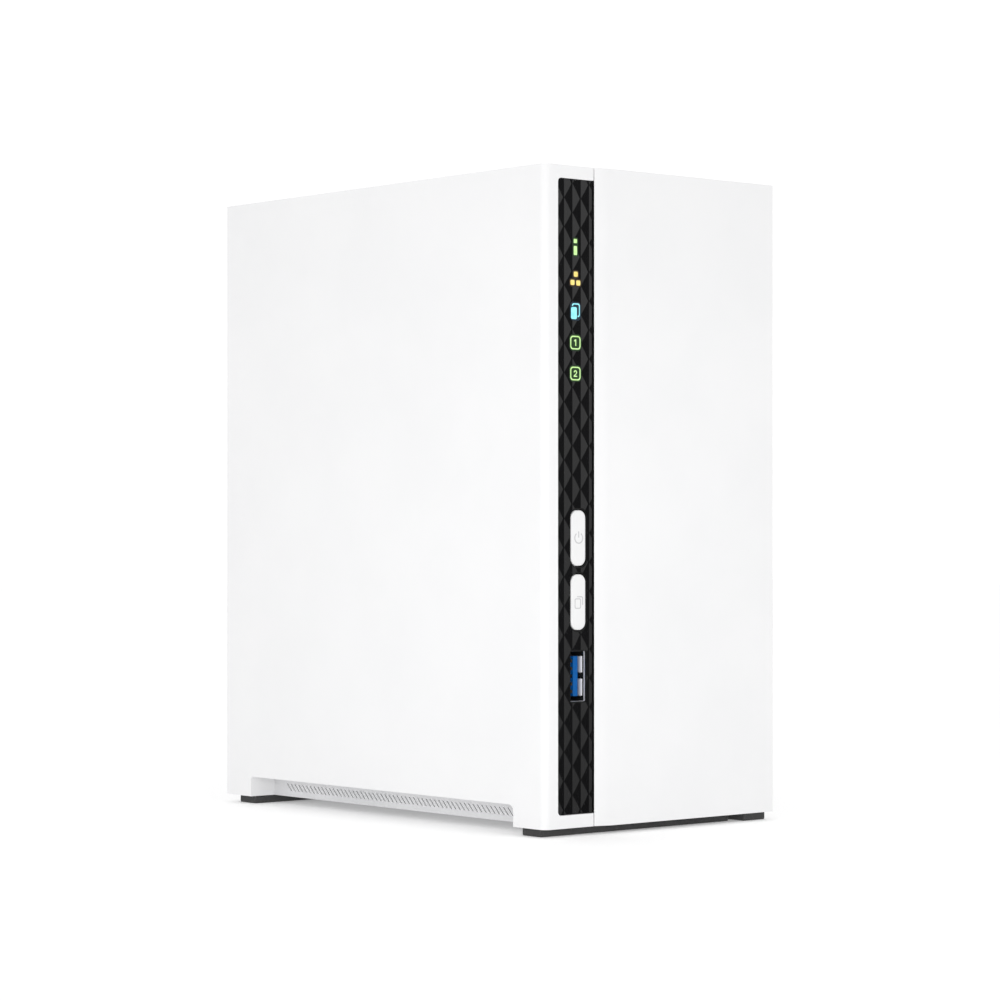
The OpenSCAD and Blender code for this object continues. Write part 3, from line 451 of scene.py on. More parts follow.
def halo(name, glow):
    """Black plastic with a painted glow: emission that stands in for a lamp's light spilling onto it."""
    f = Finish(name, Roughness=0.3, Emission_Strength=1.0)
    cloud = f.noise(1.5, 2.0)
    f.set("Base Color", f.blend(cloud, rgba(0.004), rgba(0.008)))
    f.set("Emission Color", f.blend(cloud, glow, dimmed(glow, 0.6)))
    return f.material


# Painted glow for the flat areas round the icons, one for each lamp colour.
HALOS = {
    "green_lens": halo("Green_halo", rgba(0.004, 0.04, 0.001)),
    "amber_lens": halo("Amber_halo", rgba(0.035, 0.014, 0.002)),
    "blue_lens": halo("Blue_halo", rgba(0.001, 0.02, 0.045)),
}


# ---- Mesh tools ----------------------------------------------------------------------------


def add_object(name, mesh, finish):
    piece = bpy.data.objects.new(name, mesh)
    bpy.context.scene.collection.objects.link(piece)
    mesh.materials.clear()
    mesh.materials.append(finish)
    return piece


def from_bmesh(name, bm, finish):
    bmesh.ops.recalc_face_normals(bm, faces=bm.faces)
    mesh = bpy.data.meshes.new(name)
    bm.to_mesh(mesh)
    bm.free()
    return add_object(name, mesh, finish)


def add_on(piece, node):
    """Hangs an extra piece on the body of a CAD node."""
    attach(piece, BODY[node])


def stand_for(piece, node):
    """Hangs a piece on the body of the CAD node that it replaces, and hides that node."""
    add_on(piece, node)
    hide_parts(node)


def settle(piece):
    """Applies a piece's modifiers to its mesh."""
    graph = bpy.context.evaluated_depsgraph_get()
    made = bpy.data.meshes.new_from_object(piece.evaluated_get(graph))
    piece.modifiers.clear()
    old = piece.data
    piece.data = made
    bpy.data.meshes.remove(old)
    return piece


def smooth(piece, angle=35.0):
    """Smooth shading that keeps edges sharper than the angle."""
    piece.data.shade_smooth()
    bm = bmesh.new()
    bm.from_mesh(piece.data)
    for edge in bm.edges:
        edge.smooth = len(edge.link_faces) == 2 and edge.calc_face_angle(0.0) < math.radians(angle)
    bm.to_mesh(piece.data)
    bm.free()


def cad_copy(node):
    """A welded mesh of a CAD node, with flat areas joined up."""
    bm = bmesh.new()
    bm.from_mesh(frame["nodes"][node].data)
    bmesh.ops.remove_doubles(bm, verts=bm.verts, dist=0.002 * MM)
    bmesh.ops.dissolve_limit(
        bm, angle_limit=math.radians(0.5), verts=bm.verts, edges=bm.edges, use_dissolve_boundaries=False
    )
    return bm


def solid_limits(node, across):
    """Limits of each separate solid of a CAD node, along one axis and in height."""
    bm = bmesh.new()
    bm.from_mesh(frame["nodes"][node].data)
    bmesh.ops.remove_doubles(bm, verts=bm.verts, dist=0.001 * MM)
    seen, limits = set(), []
    for start in bm.verts:
        if start in seen:
            continue
        seen.add(start)
        queue, wide, high = [start], [], []
        while queue:
            vert = queue.pop()
            wide.append(vert.co[across])
            high.append(vert.co.z)
            for edge in vert.link_edges:
                other = edge.other_vert(vert)
                if other not in seen:
                    seen.add(other)
                    queue.append(other)
        limits.append((min(wide), min(high), max(wide), max(high)))
    bm.free()
    return limits


def softened(node, radius_mm, steps=3):
    """A CAD node's shape with its sharp edges rounded, in its own finish."""
    piece = from_bmesh(node + "_soft", cad_copy(node), FINISHES[SLOT[node]])
    rounding = piece.modifiers.new("rounding", "BEVEL")
    rounding.width = radius_mm * MM
    rounding.segments = steps
    rounding.limit_method = "ANGLE"
    rounding.angle_limit = math.radians(40.0)
    piece.data.shade_smooth()
    levelling = piece.modifiers.new("levelling", "WEIGHTED_NORMAL")
    levelling.weight = 100
    settle(piece)
    stand_for(piece, node)


def rounded_outline(mid, size, radius, steps=6):
    """Points round a rectangle with round corners, in X and Z."""
    half_w, half_h = size[0] / 2 - radius, size[1] / 2 - radius
    points = []
    for quarter, (sx, sz) in enumerate(((1, 1), (-1, 1), (-1, -1), (1, -1))):
        for step in range(steps + 1):
            a = math.radians(90.0 * (quarter + step / steps))
            x = mid[0] + sx * half_w + radius * math.cos(a)
            z = mid[1] + sz * half_h + radius * math.sin(a)
            points.append((x, z))
    return points


def loft(bm, rings):
    """Skins a stack of closed rings of points and closes both ends."""
    rows = [[bm.verts.new(p) for p in ring] for ring in rings]
    for low, high in zip(rows, rows[1:]):
        for i in range(len(low)):
            j = (i + 1) % len(low)
            bm.faces.new((low[i], low[j], high[j], high[i]))
    bm.faces.new(list(reversed(rows[0])))
    bm.faces.new(rows[-1])


def upright_prism(bm, outline, y0, y1):
    """A solid with an outline in X and Z, in metres, between two depths."""
    loft(bm, [[Vector((x, y, z)) for x, z in outline] for y in (y0, y1)])


def box_into(bm, low, high):
    """A box between two corners, in metres."""
    outline = [(low[0], low[2]), (high[0], low[2]), (high[0], high[2]), (low[0], high[2])]
    upright_prism(bm, outline, low[1], high[1])


def carve(piece, cutter, operation="DIFFERENCE"):
    """Cuts one mesh with another and drops the cutter."""
    cut = piece.modifiers.new("cut", "BOOLEAN")
    cut.operation = operation
    cut.solver = "EXACT"
    cut.object = cutter
    settle(piece)
    bpy.data.objects.remove(cutter)
    return piece


def scratch(bm):
    """A throwaway object for a cut."""
    return from_bmesh("cutter", bm, BORDER)


# ---- Camera and studio ---------------------------------------------------------------------

CAMERA_AT = (-0.6078, -0.7189, 0.0885)
CAMERA_YAW = -40.38
CAMERA_LENS = 108.83
CAMERA_LIFT = 0.026
FLAG_LEFT = 24.0
FLAG_RIGHT = 40.4
KEY_AT = (-0.36, -0.42, 0.03)
KEY_AIM = (-0.045, -0.078, 0.03)
KEY_SIZE = 0.3
KEY_WATTS = 0.14
SKY_LOW = 0.55
SKY_HIGH = 0.91


def make_camera():
    lens = bpy.data.cameras.new("camera")
    lens.lens = CAMERA_LENS
    lens.shift_y = CAMERA_LIFT
    lens.clip_start = 0.01
    camera = bpy.data.objects.new("camera", lens)
    camera.location = CAMERA_AT
    camera.rotation_euler = (math.radians(90.0), 0.0, math.radians(CAMERA_YAW))
    bpy.context.scene.collection.objects.link(camera)
    bpy.context.scene.camera = camera


def soft_light(name, at, towards, size, watts):
    lamp = bpy.data.lights.new(name, "AREA")
    lamp.size = size
    lamp.energy = watts
    light = bpy.data.objects.new(name, lamp)
    light.location = at
    aim = Vector(towards) - Vector(at)
    light.rotation_euler = aim.to_track_quat("-Z", "Y").to_euler()
    bpy.context.scene.collection.objects.link(light)
    return light


def make_sky():
    """Even white light, softer low down, with a dark upright flag in front of the right side."""
    world = bpy.data.worlds.new("studio")
    bpy.context.scene.world = world
    sky = Tree(world)
    away = sky.add("ShaderNodeTexCoord", output="Generated")
    right, back, height = [sky.add("ShaderNodeSeparateXYZ", None, {0: away}, axis) for axis in "XYZ"]
    turn = right.math("ARCTAN2", right, 0.0 - back) * (180.0 / math.pi)
    flag = turn.ease(FLAG_LEFT - 8.0, FLAG_LEFT) * (1.0 - turn.ease(FLAG_RIGHT - 1.5, FLAG_RIGHT + 1.5))
    flag = flag * (1.0 - abs(height).ease(0.22, 0.4))
    light = (SKY_LOW + (SKY_HIGH - SKY_LOW) * height.ease(-0.12, 0.12)) * (1.0 - 0.88 * flag)
    seen = sky.add("ShaderNodeLightPath", output="Is Camera Ray")
    strength = seen * 1.1 + (1.0 - seen) * light
    shader = sky.nodes["Background"]
    sky.feed(shader.inputs["Strength"], strength)
    shader.inputs["Color"].default_value = (1.0, 1.0, 1.0, 1.0)


def make_floor():
    half = 3.0
    bm = bmesh.new()
    corners = [(-half, -half, 0), (half, -half, 0), (half, half, 0), (-half, half, 0)]
    bm.faces.new([bm.verts.new(c) for c in corners])
    f = Finish("Studio_floor", Roughness=0.9, Specular_IOR_Level=0.0, Emission_Strength=0.16)
    f.set("Base Color", f.blend(f.noise(90.0), rgba(0.96), rgba(0.94)))
    f.set("Emission Color", rgba(1.0))
    floor = from_bmesh("floor", bm, f.material)
    floor.visible_glossy = False


def make_studio():
    bpy.context.scene.view_settings.view_transform = "Standard"
    make_sky()
    make_floor()
    key = soft_light("front_left", KEY_AT, KEY_AIM, KEY_SIZE, KEY_WATTS)
    key.data.spread = math.radians(60.0)


make_camera()
make_studio()


# ---- Case ----------------------------------------------------------------------------------


def make_case():
    softened("left_shell", 0.35)
    softened("cover_shell", 0.35)
    softened("rear_panel", 0.15, 2)
    softened("base_tray", 0.12, 1)


def make_feet():
    for node in ("front_foot_bar", "rear_foot_bar", "right_front_foot", "right_rear_foot"):
        softened(node, 0.45)


# ---- Status strip --------------------------------------------------------------------------

STRIP_LOW, STRIP_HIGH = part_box("status_strip")
FACET_HALF_W = 3.19 * MM
FACET_HALF_H = 4.15 * MM
FACET_RISE = 0.2 * MM
FACET_GAP = 0.006 * MM
FACET_X = -37.33 * MM
FACET_Z = 186.1 * MM
STRIP_INSET = 1.75 * MM
STRIP_RIM_Z = 1.25 * MM
STRIP_TUCK = 0.1 * MM
STRIP_CORNER = 1.05 * MM
PAD_MARGIN = 0.42 * MM
PAD_SINK = 0.02 * MM


def strip_window(margin=0.0):
    """Outline of the part of the strip that shows."""
    left, right = STRIP_LOW.x + STRIP_INSET, STRIP_HIGH.x - STRIP_TUCK
    low, high = STRIP_LOW.z + STRIP_RIM_Z, STRIP_HIGH.z - STRIP_RIM_Z
    mid = ((left + right) / 2, (low + high) / 2)
    size = (right - left + 2 * margin, high - low + 2 * margin)
    return rounded_outline(mid, size, STRIP_CORNER)


def facet(bm, x, z, base, top, foot):
    """One tent-shaped facet: a ridge up the middle of a rhombus, falling to both sides."""
    half_w, half_h = FACET_HALF_W - FACET_GAP, FACET_HALF_H - FACET_GAP
    ridge = [bm.verts.new((x, top, z + s * half_h)) for s in (1, -1)]
    sides = [bm.verts.new((x + s * half_w, base, z)) for s in (-1, 1)]
    below = [bm.verts.new((x, foot, z + s * half_h)) for s in (1, -1)]
    under = [bm.verts.new((x + s * half_w, foot, z)) for s in (-1, 1)]
    for s in (0, 1):
        bm.faces.new((ridge[0], ridge[1], sides[s]))
        for r in (0, 1):
            bm.faces.new((ridge[r], sides[s], under[s], below[r]))
    bm.faces.new((below[0], under[0], below[1], under[1]))


def facets(base, top, foot):
    """The whole field of facets, as separate closed solids a hair apart."""
    bm = bmesh.new()
    columns = 6
    rows = int((STRIP_HIGH.z - STRIP_LOW.z) / (2 * FACET_HALF_H)) + 3
    for column in range(-1, columns):
        for row in range(-1, rows):
            x = FACET_X + column * FACET_HALF_W
            z = FACET_Z - (2 * row + (column % 2)) * FACET_HALF_H
            facet(bm, x, z, base, top, foot)
    return bm


def button_outline(node, margin):
    low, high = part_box(node)
    mid = ((low.x + high.x) / 2, (low.z + high.z) / 2)
    collar = 0.8 * MM
    size = (high.x - low.x - 2 * collar + 2 * margin, high.z - low.z - 2 * collar + 2 * margin)
    return rounded_outline(mid, size, 2.3 * MM + margin, 10)


SOCKET_OPENING = (5.75 * MM, 14.3 * MM)
SOCKET_CORNER = 0.3 * MM
SOCKET_SINK = 0.6 * MM


def socket_outline(margin):
    """Outline of the opening in front of the socket, which hides the shell's edge."""
    low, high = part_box("front_usb_shell")
    mid = ((low.x + high.x) / 2, (low.z + high.z) / 2)
    size = (SOCKET_OPENING[0] + 2 * margin, SOCKET_OPENING[1] + 2 * margin)
    return rounded_outline(mid, size, SOCKET_CORNER + margin)


LENSES = ("status_lens", "network_lens", "copy_lens", "disk_1_lens", "disk_2_lens")


def pad_boxes(node):
    """The flat areas round an icon: one for each network box, one for any other icon."""
    boxes = solid_limits(node, 0)
    if node == "network_lens":
        return boxes
    lows, highs = [box[:2] for box in boxes], [box[2:] for box in boxes]
    return [tuple(min(c) for c in zip(*lows)) + tuple(max(c) for c in zip(*highs))]


def pad_outlines(node):
    outlines = []
    for x0, z0, x1, z1 in pad_boxes(node):
        size = (x1 - x0 + 2 * PAD_MARGIN, z1 - z0 + 2 * PAD_MARGIN)
        outlines.append(rounded_outline(((x0 + x1) / 2, (z0 + z1) / 2), size, min(size) * 0.3))
    return outlines


def pads(front, back):
    """A solid of all the flat areas, joined where they overlap."""
    made = None
    for node in LENSES:
        for outline in pad_outlines(node):
            bm = bmesh.new()
            upright_prism(bm, outline, front, back)
            piece = scratch(bm)
            made = carve(made, piece, "UNION") if made else piece
    return made


def make_strip():
    front, back = STRIP_LOW.y, STRIP_HIGH.y
    base = front + FACET_RISE
    gap = 0.3 * MM
    rib = 0.35 * MM

    # The facets, cut to the window and round every opening
    field = facets(base, front, base + 0.6 * MM)
    field = from_bmesh("status_strip_facets", field, FINISHES["black_gloss"])
    bm = bmesh.new()
    upright_prism(bm, strip_window(-0.05 * MM), front - MM, back)
    carve(field, scratch(bm), "INTERSECT")
    bm = bmesh.new()
    for node in ("power_button", "copy_button"):
        upright_prism(bm, button_outline(node, gap + rib), front - MM, back + MM)
    upright_prism(bm, socket_outline(rib), front - MM, back + MM)
    carve(field, scratch(bm))
    carve(field, pads(front - MM, back + MM))
    add_on(field, "status_strip")

    # The body behind them, with a flat pad round every icon
    bm = bmesh.new()
    upright_prism(bm, strip_window(), base + 0.05 * MM, back)
    body = from_bmesh("status_strip_body", bm, BORDER)
    bm = bmesh.new()
    flange_low = (STRIP_LOW.x, back - 1.3 * MM, STRIP_LOW.z)
    box_into(bm, flange_low, STRIP_HIGH)
    carve(body, scratch(bm), "UNION")
    carve(body, pads(front + PAD_SINK, base + 0.5 * MM), "UNION")
    bm = bmesh.new()
    for node in ("power_button", "copy_button"):
        upright_prism(bm, button_outline(node, gap), front - MM, back + MM)
    upright_prism(bm, socket_outline(0.0), front - MM, back + MM)
    carve(body, scratch(bm))
    bm = bmesh.new()
    upright_prism(bm, socket_outline(0.62 * MM), front + SOCKET_SINK - 0.05 * MM, back + MM)
    carve(body, scratch(bm))
    for node in LENSES:
        bm = bmesh.new()
        bm.from_mesh(frame["nodes"][node].data)
        bmesh.ops.remove_doubles(bm, verts=bm.verts, dist=0.001 * MM)
        carve(body, scratch(bm))
    smooth(body, 30.0)
    paint_pad_glow(body, front + PAD_SINK)
    stand_for(body, "status_strip")


def paint_pad_glow(body, level):
    """Painted glow: the flat area round each icon gets an emitting finish that stands in for the lamp's
    light spilling onto it.
    """
    for node in LENSES:
        body.data.materials.append(HALOS[SLOT[node]])
        number = len(body.data.materials) - 1
        low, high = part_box(node)
        reach = 2 * PAD_MARGIN
        for face in body.data.polygons:
            at = face.center
            inside = low.x - reach < at.x < high.x + reach and low.z - reach < at.z < high.z + reach
            if inside and at.y < level + 0.01 * MM:
                face.material_index = number


# ---- Buttons -------------------------------------------------------------------------------


CROWN = 0.25


def stroke(bm, points, width, y0, y1, closed=False):
    """A raised line of even width along points in X and Z."""
    count = len(points)
    left, right = [], []
    for i, (x, z) in enumerate(points):
        before = points[(i - 1) % count] if closed or i > 0 else points[i]
        after = points[(i + 1) % count] if closed or i < count - 1 else points[i]
        along = Vector((after[0] - before[0], after[1] - before[1])).normalized()
        side = Vector((-along.y, along.x)) * width / 2
        left.append((x + side.x, z + side.y))
        right.append((x - side.x, z - side.y))
    spans = count if closed else count - 1
    rows = []
    for i in range(count):
        (lx, lz), (rx, rz) = left[i], right[i]
        cx, cz = (lx + rx) / 2, (lz + rz) / 2
        rows.append(
            [
                bm.verts.new((lx, y1, lz)),
                bm.verts.new((lx + (cx - lx) * CROWN, y0, lz + (cz - lz) * CROWN)),
                bm.verts.new((rx + (cx - rx) * CROWN, y0, rz + (cz - rz) * CROWN)),
                bm.verts.new((rx, y1, rz)),
            ]
        )
    for i in range(spans):
        a, b = rows[i], rows[(i + 1) % count]
        for k in range(4):
            m = (k + 1) % 4
            bm.faces.new((a[k], a[m], b[m], b[k]))
    if not closed:
        bm.faces.new(rows[0])
        bm.faces.new(rows[-1])


def arc(mid, radius, start, end, steps=24):
    turn = [math.radians(start + (end - start) * i / steps) for i in range(steps + 1)]
    return [(mid[0] + radius * math.cos(a), mid[1] + radius * math.sin(a)) for a in turn]


def power_mark(bm, mid, y0, y1):
    width = 0.42 * MM
    stroke(bm, arc(mid, 1.5 * MM, 125, 415), width, y0, y1)
    stroke(bm, [(mid[0], mid[1] + 0.1 * MM), (mid[0], mid[1] + 1.9 * MM)], width, y0, y1)


def copy_mark(bm, mid, y0, y1):
    width = 0.36 * MM
    front = rounded_outline((mid[0] - 0.35 * MM, mid[1] - 0.4 * MM), (2.1 * MM, 2.7 * MM), 0.45 * MM)
    stroke(bm, front, width, y0, y1, closed=True)
    top, right = mid[1] + 1.55 * MM, mid[0] + 1.5 * MM
    corner = arc((right - 0.5 * MM, top - 0.5 * MM), 0.5 * MM, 90, 0, 6)
    stroke(bm, [(mid[0] - 0.6 * MM, top)] + corner + [(right, mid[1] - 0.8 * MM)], width, y0, y1)


MARK_RISE = 0.05 * MM


def make_button(node, mark):
    """A cap with a soft edge, its mark, and the collar and stem behind it."""
    low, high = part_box(node)
    mid = ((low.x + high.x) / 2, (low.z + high.z) / 2)
    edge = 0.7 * MM
    rings = []
    for step in range(7):
        a = math.radians(90.0 * step / 6)
        inset, drop = edge * (1 - math.sin(a)), 0.55 * edge * (1 - math.cos(a))
        rings.append([Vector((x, low.y + MARK_RISE + drop, z)) for x, z in button_outline(node, -inset)])
    collar_y = high.y - 1.4 * MM
    rings.append([Vector((x, collar_y, z)) for x, z in button_outline(node, 0.0)])
    rings.append([Vector((x, collar_y, z)) for x, z in button_outline(node, 0.8 * MM)])
    rings.append([Vector((x, collar_y + 0.9 * MM, z)) for x, z in button_outline(node, 0.8 * MM)])
    bm = bmesh.new()
    loft(bm, rings)
    stem = (1.2 * MM, 2.4 * MM)
    stem_low = (mid[0] - stem[0], collar_y + 0.8 * MM, mid[1] - stem[1])
    box_into(bm, stem_low, (mid[0] + stem[0], high.y, mid[1] + stem[1]))
    piece = from_bmesh(node + "_cap", bm, FINISHES[SLOT[node]])
    smooth(piece)
    stand_for(piece, node)
    bm = bmesh.new()
    mark(bm, mid, low.y, low.y + 0.2 * MM)
    # The marks take the greyer finish, painted shade for the shading along their edges.
    add_on(from_bmesh(node + "_mark", bm, MARK), node)


# ---- Front socket --------------------------------------------------------------------------


def tube_into(bm, mid, size, radius, section):
    """A closed tube round a rectangle; its section is a loop of (growth, depth) pairs."""
    rows = []
    for grow, depth in section:
        outline = rounded_outline(mid, (size[0] + 2 * grow, size[1] + 2 * grow), radius + grow)
        rows.append([bm.verts.new((x, depth, z)) for x, z in outline])
    for i, low in enumerate(rows):
        high = rows[(i + 1) % len(rows)]
        for k in range(len(low)):
            m = (k + 1) % len(low)
            bm.faces.new((low[k], low[m], high[m], high[k]))


def leaf_into(bm, path, thick, z0, z1):
    """A bent spring leaf: a strip along a path of (x, y) points, between two heights."""
    rows = []
    for i, (x, y) in enumerate(path):
        before, after = path[max(i - 1, 0)], path[min(i + 1, len(path) - 1)]
        along = Vector((after[0] - before[0], after[1] - before[1])).normalized()
        side = Vector((-along.y, along.x)) * thick / 2
        ring = [(x + side.x, y + side.y, z0), (x + side.x, y + side.y, z1)]
        ring += [(x - side.x, y - side.y, z1), (x - side.x, y - side.y, z0)]
        rows.append([bm.verts.new(p) for p in ring])
    for low, high in zip(rows, rows[1:]):
        for k in range(4):
            m = (k + 1) % 4
            bm.faces.new((low[k], low[m], high[m], high[k]))
    bm.faces.new(rows[0])
    bm.faces.new(rows[-1])


SPRING_BEND = (
    (0.0, 9.0), (0.0, 8.0), (0.25, 5.4), (0.5, 3.3), (0.62, 2.6), (0.6, 2.0), (0.4, 1.5), (0.15, 1.2),
)


def make_front_socket():
    """Steel shell with a flared lip, windows in its long sides, and the springs in them."""
    low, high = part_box("front_usb_shell")
    sheet = 0.3 * MM
    mid = ((low.x + high.x) / 2, (low.z + high.z) / 2)
    mouth = (high.x - low.x - 2 * sheet, high.z - low.z - 2 * sheet)
    y0, y1 = low.y + SOCKET_SINK, high.y
    section = [(0.3, 0.0), (0.16, 0.25), (0.05, 0.7), (0.0, 1.3)]
    section = [(grow * MM, y0 + depth * MM) for grow, depth in section]
    section += [(0.0, y1), (sheet, y1), (sheet, y0 + 0.9 * MM), (0.4 * MM, y0 + 0.1 * MM)]
    bm = bmesh.new()
    tube_into(bm, mid, mouth, 0.25 * MM, section)
    shell = from_bmesh("front_usb_shell_flared", bm, FINISHES["socket_steel"])
    leaves = ((1.38 * MM, 6.05 * MM), (7.85 * MM, 12.69 * MM))
    top = mid[1] + mouth[1] / 2
    bm = bmesh.new()
    for side in (-1, 1):
        x = mid[0] + side * (mouth[0] / 2 + sheet / 2)
        for upper, lower in leaves:
            corner = (x - sheet, y0 + 0.85 * MM, top - lower - 0.4 * MM)
            box_into(bm, corner, (x + sheet, y0 + 8.9 * MM, top - upper + 0.4 * MM))
    carve(shell, scratch(bm))
    # Painted shade: faces turned into the mouth, deeper than the lip, get the dark metal that stands in
    # for the shadow inside the socket.
    shell.data.materials.append(INSIDE_PAINTED_SHADE)
    for face in shell.data.polygons:
        at = face.center
        inward = (at.x - mid[0]) * face.normal.x + (at.z - mid[1]) * face.normal.z < 0
        if inward and at.y > y0 + 0.9 * MM:
            face.material_index = 1
    bm = bmesh.new()
    bm.from_mesh(shell.data)
    for side in (-1, 1):
        wall = mid[0] + side * (mouth[0] / 2 + 0.5 * sheet)
        path = [(wall - side * deep * MM, y0 + back * MM) for deep, back in SPRING_BEND]
        for upper, lower in leaves:
            leaf_into(bm, path, 0.2 * MM, top - lower, top - upper)
    bm.to_mesh(shell.data)
    bm.free()
    smooth(shell, 40.0)
    stand_for(shell, "front_usb_shell")


# ---- Drives --------------------------------------------------------------------------------


def outline_at(x, outline):
    """A ring of points at one place across the case, from an outline in Y and Z."""
    return [Vector((x, y, z)) for y, z in outline]


def round_ring(mid, radius, lobes=0.0, steps=48):
    """A circle, or with lobes a six-pointed star, in two directions."""
    ring = []
    for step in range(steps):
        a = 2 * math.pi * step / steps
        reach = radius * (1.0 + lobes * math.cos(6 * a))
        ring.append((mid[0] + reach * math.cos(a), mid[1] + reach * math.sin(a)))
    return ring


def lid_screw(bm, mid, face):
    """A low round head with a star recess."""
    turns = [(2.3, -0.05, 0.0), (2.3, 0.22, 0.0), (2.1, 0.32, 0.0), (1.15, 0.32, 0.12), (1.0, 0.06, 0.12)]
    loft(bm, [outline_at(face + up * MM, round_ring(mid, r * MM, lobes)) for r, up, lobes in turns])


LID_STEP = 0.4 * MM
LID_ROUND_UP = 91.5 * MM
LID_ROUND = (
    (44.0, -0.02), (43.6, 0.2), (43.0, 0.32), (42.2, 0.36), (31.0, 0.36), (30.4, 0.3), (29.9, 0.22),
    (15.0, 0.22), (14.5, 0.3), (13.9, 0.36), (8.6, 0.36), (8.2, 0.16),
)
LID_SCREWS = [(across, up) for up in (0.035, 0.36, 0.965) for across in (0.045, 0.955)]
LABEL_UP = 24.0 * MM
LABEL_SIZE = (74.0 * MM, 34.0 * MM)


def make_lid(number):
    """Pressed lid with a raised round over the disks, its screws and a blank paper label."""
    node = "drive_%d_lid" % number
    low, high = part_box(node)
    face = high.x - LID_STEP
    width, height = high.y - low.y, high.z - low.z
    mid = (low.y + width / 2, low.z + height / 2)
    bm = bmesh.new()
    rings = []
    rounded_edge = ((0.0, 0.16), (0.05, 0.05), (0.18, 0.0))
    steps = [(0.0, low.x)] + [(inset * MM, face - down * MM) for inset, down in rounded_edge]
    for inset, x in steps:
        size = (width - 2 * inset, height - 2 * inset)
        rings.append(outline_at(x, rounded_outline(mid, size, 3.0 * MM - inset)))
    loft(bm, rings)
    hub = (mid[0], low.z + LID_ROUND_UP)
    loft(bm, [outline_at(face + up * MM, round_ring(hub, r * MM, steps=96)) for r, up in LID_ROUND])
    for across, up in LID_SCREWS:
        lid_screw(bm, (low.y + across * width, low.z + up * height), face)
    lid = from_bmesh(node + "_pressed", bm, FINISHES[SLOT[node]])
    smooth(lid)
    stand_for(lid, node)

    bm = bmesh.new()
    label = rounded_outline((mid[0], low.z + LABEL_UP), LABEL_SIZE, 1.5 * MM)
    loft(bm, [outline_at(face + up * MM, label) for up in (-0.02, 0.08)])
    paper = from_bmesh("drive_%d_label" % number, bm, PAPER)
    add_on(paper, node)


def make_drives():
    for number in (1, 2):
        make_lid(number)
        softened("drive_%d_casting" % number, 0.5)
        board_parts("drive_%d_board" % number, -1, 46, 10 + number, ())


# ---- Boards --------------------------------------------------------------------------------

CHIP_SIZES = ((1.0, 0.5, 0.4), (1.6, 0.8, 0.5), (2.0, 1.25, 0.6))


def board_parts(board, facing, count, seed, neighbours):
    """Small soldered parts with tinned ends, scattered on a board's face, clear of the rest."""
    low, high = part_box(board)
    face = high.x if facing > 0 else low.x
    draw = random.Random(seed)
    taken = []
    for node in neighbours:
        taken += solid_limits(node, 1)
    bodies, ends = bmesh.new(), bmesh.new()
    edge, clear = 3.5 * MM, 0.7 * MM
    made = 0
    for _ in range(count * 12):
        if made == count:
            break
        long, short, rise = [c * MM for c in draw.choice(CHIP_SIZES)]
        if draw.random() < 0.5:
            long, short = short, long
        y = draw.uniform(low.y + edge, high.y - edge)
        z = draw.uniform(low.z + edge, high.z - edge)
        here = (y - long / 2 - clear, z - short / 2 - clear, y + long / 2 + clear, z + short / 2 + clear)
        if any(here[0] < t[2] and t[0] < here[2] and here[1] < t[3] and t[1] < here[3] for t in taken):
            continue
        taken.append(here)
        made += 1
        rise = rise if facing > 0 else rise / 2
        x0, x1 = sorted((face - facing * 0.02 * MM, face + facing * rise))
        box_into(bodies, (x0, y - long / 2, z - short / 2), (x1, y + long / 2, z + short / 2))
        lip = 0.03 * MM
        for side in (-1, 1):
            if long > short:
                a, b = sorted((y + side * long * 0.27, y + side * (long / 2 + lip)))
                box_into(ends, (x0, a, z - short / 2 - lip), (x1 + facing * lip, b, z + short / 2 + lip))
            else:
                a, b = sorted((z + side * short * 0.27, z + side * (short / 2 + lip)))
                box_into(ends, (x0, y - long / 2 - lip, a), (x1 + facing * lip, y + long / 2 + lip, b))
    for name, bm, slot in (("_small_parts", bodies, "chip_black"), ("_solder_ends", ends, "socket_steel")):
        add_on(from_bmesh(board + name, bm, FINISHES[slot]), board)


BOARD_NEIGHBOURS = (
    "heatsink", "memory_chips", "coin_cell", "buzzer", "capacitors", "board_screws", "rear_usb_shell",
    "network_jack", "power_jack", "reset_switch", "fan_lead", "backplane_sockets", "front_usb_shell",
)


CAN_SHAPE = (
    (1.0, 0.0), (1.0, 0.8), (0.93, 1.1), (0.93, 1.5), (1.0, 1.8), (1.0, 7.1), (0.94, 7.5), (0.86, 7.7),
    (0.8, 7.55),
)
COIL_SHAPE = ((1.0, 0.0), (1.0, 3.1), (0.96, 3.4), (0.9, 3.5))
WIDEST_CAN = 3.3 * MM


def make_cans():
    """Capacitors with a crimped foot and a scored top, and coils with round shoulders."""
    bm = bmesh.new()
    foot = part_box("capacitors")[0].x
    for y0, z0, y1, z1 in solid_limits("capacitors", 1):
        mid, half = ((y0 + y1) / 2, (z0 + z1) / 2), (y1 - y0) / 2
        if half < WIDEST_CAN:
            rings = [(up, round_ring(mid, share * half, steps=32)) for share, up in CAN_SHAPE]
        else:
            rings = [
                (up, rounded_outline(mid, (2 * half * share, 2 * half * share), 1.2 * MM * share))
                for share, up in COIL_SHAPE
            ]
        loft(bm, [outline_at(foot + up * MM, ring) for up, ring in rings])
    piece = from_bmesh("capacitors_and_coils", bm, FINISHES[SLOT["capacitors"]])
    smooth(piece)
    stand_for(piece, "capacitors")


def make_boards():
    board_parts("mainboard", 1, 260, 5, BOARD_NEIGHBOURS)
    make_cans()
    softened("heatsink", 0.15, 2)
    softened("processor", 0.12, 2)
    softened("memory_chips", 0.12, 2)
    softened("coin_cell", 0.25, 2)
    softened("backplane_sockets", 0.15, 2)
    softened("light_guide", 0.3, 2)


# ---- Rear sockets --------------------------------------------------------------------------


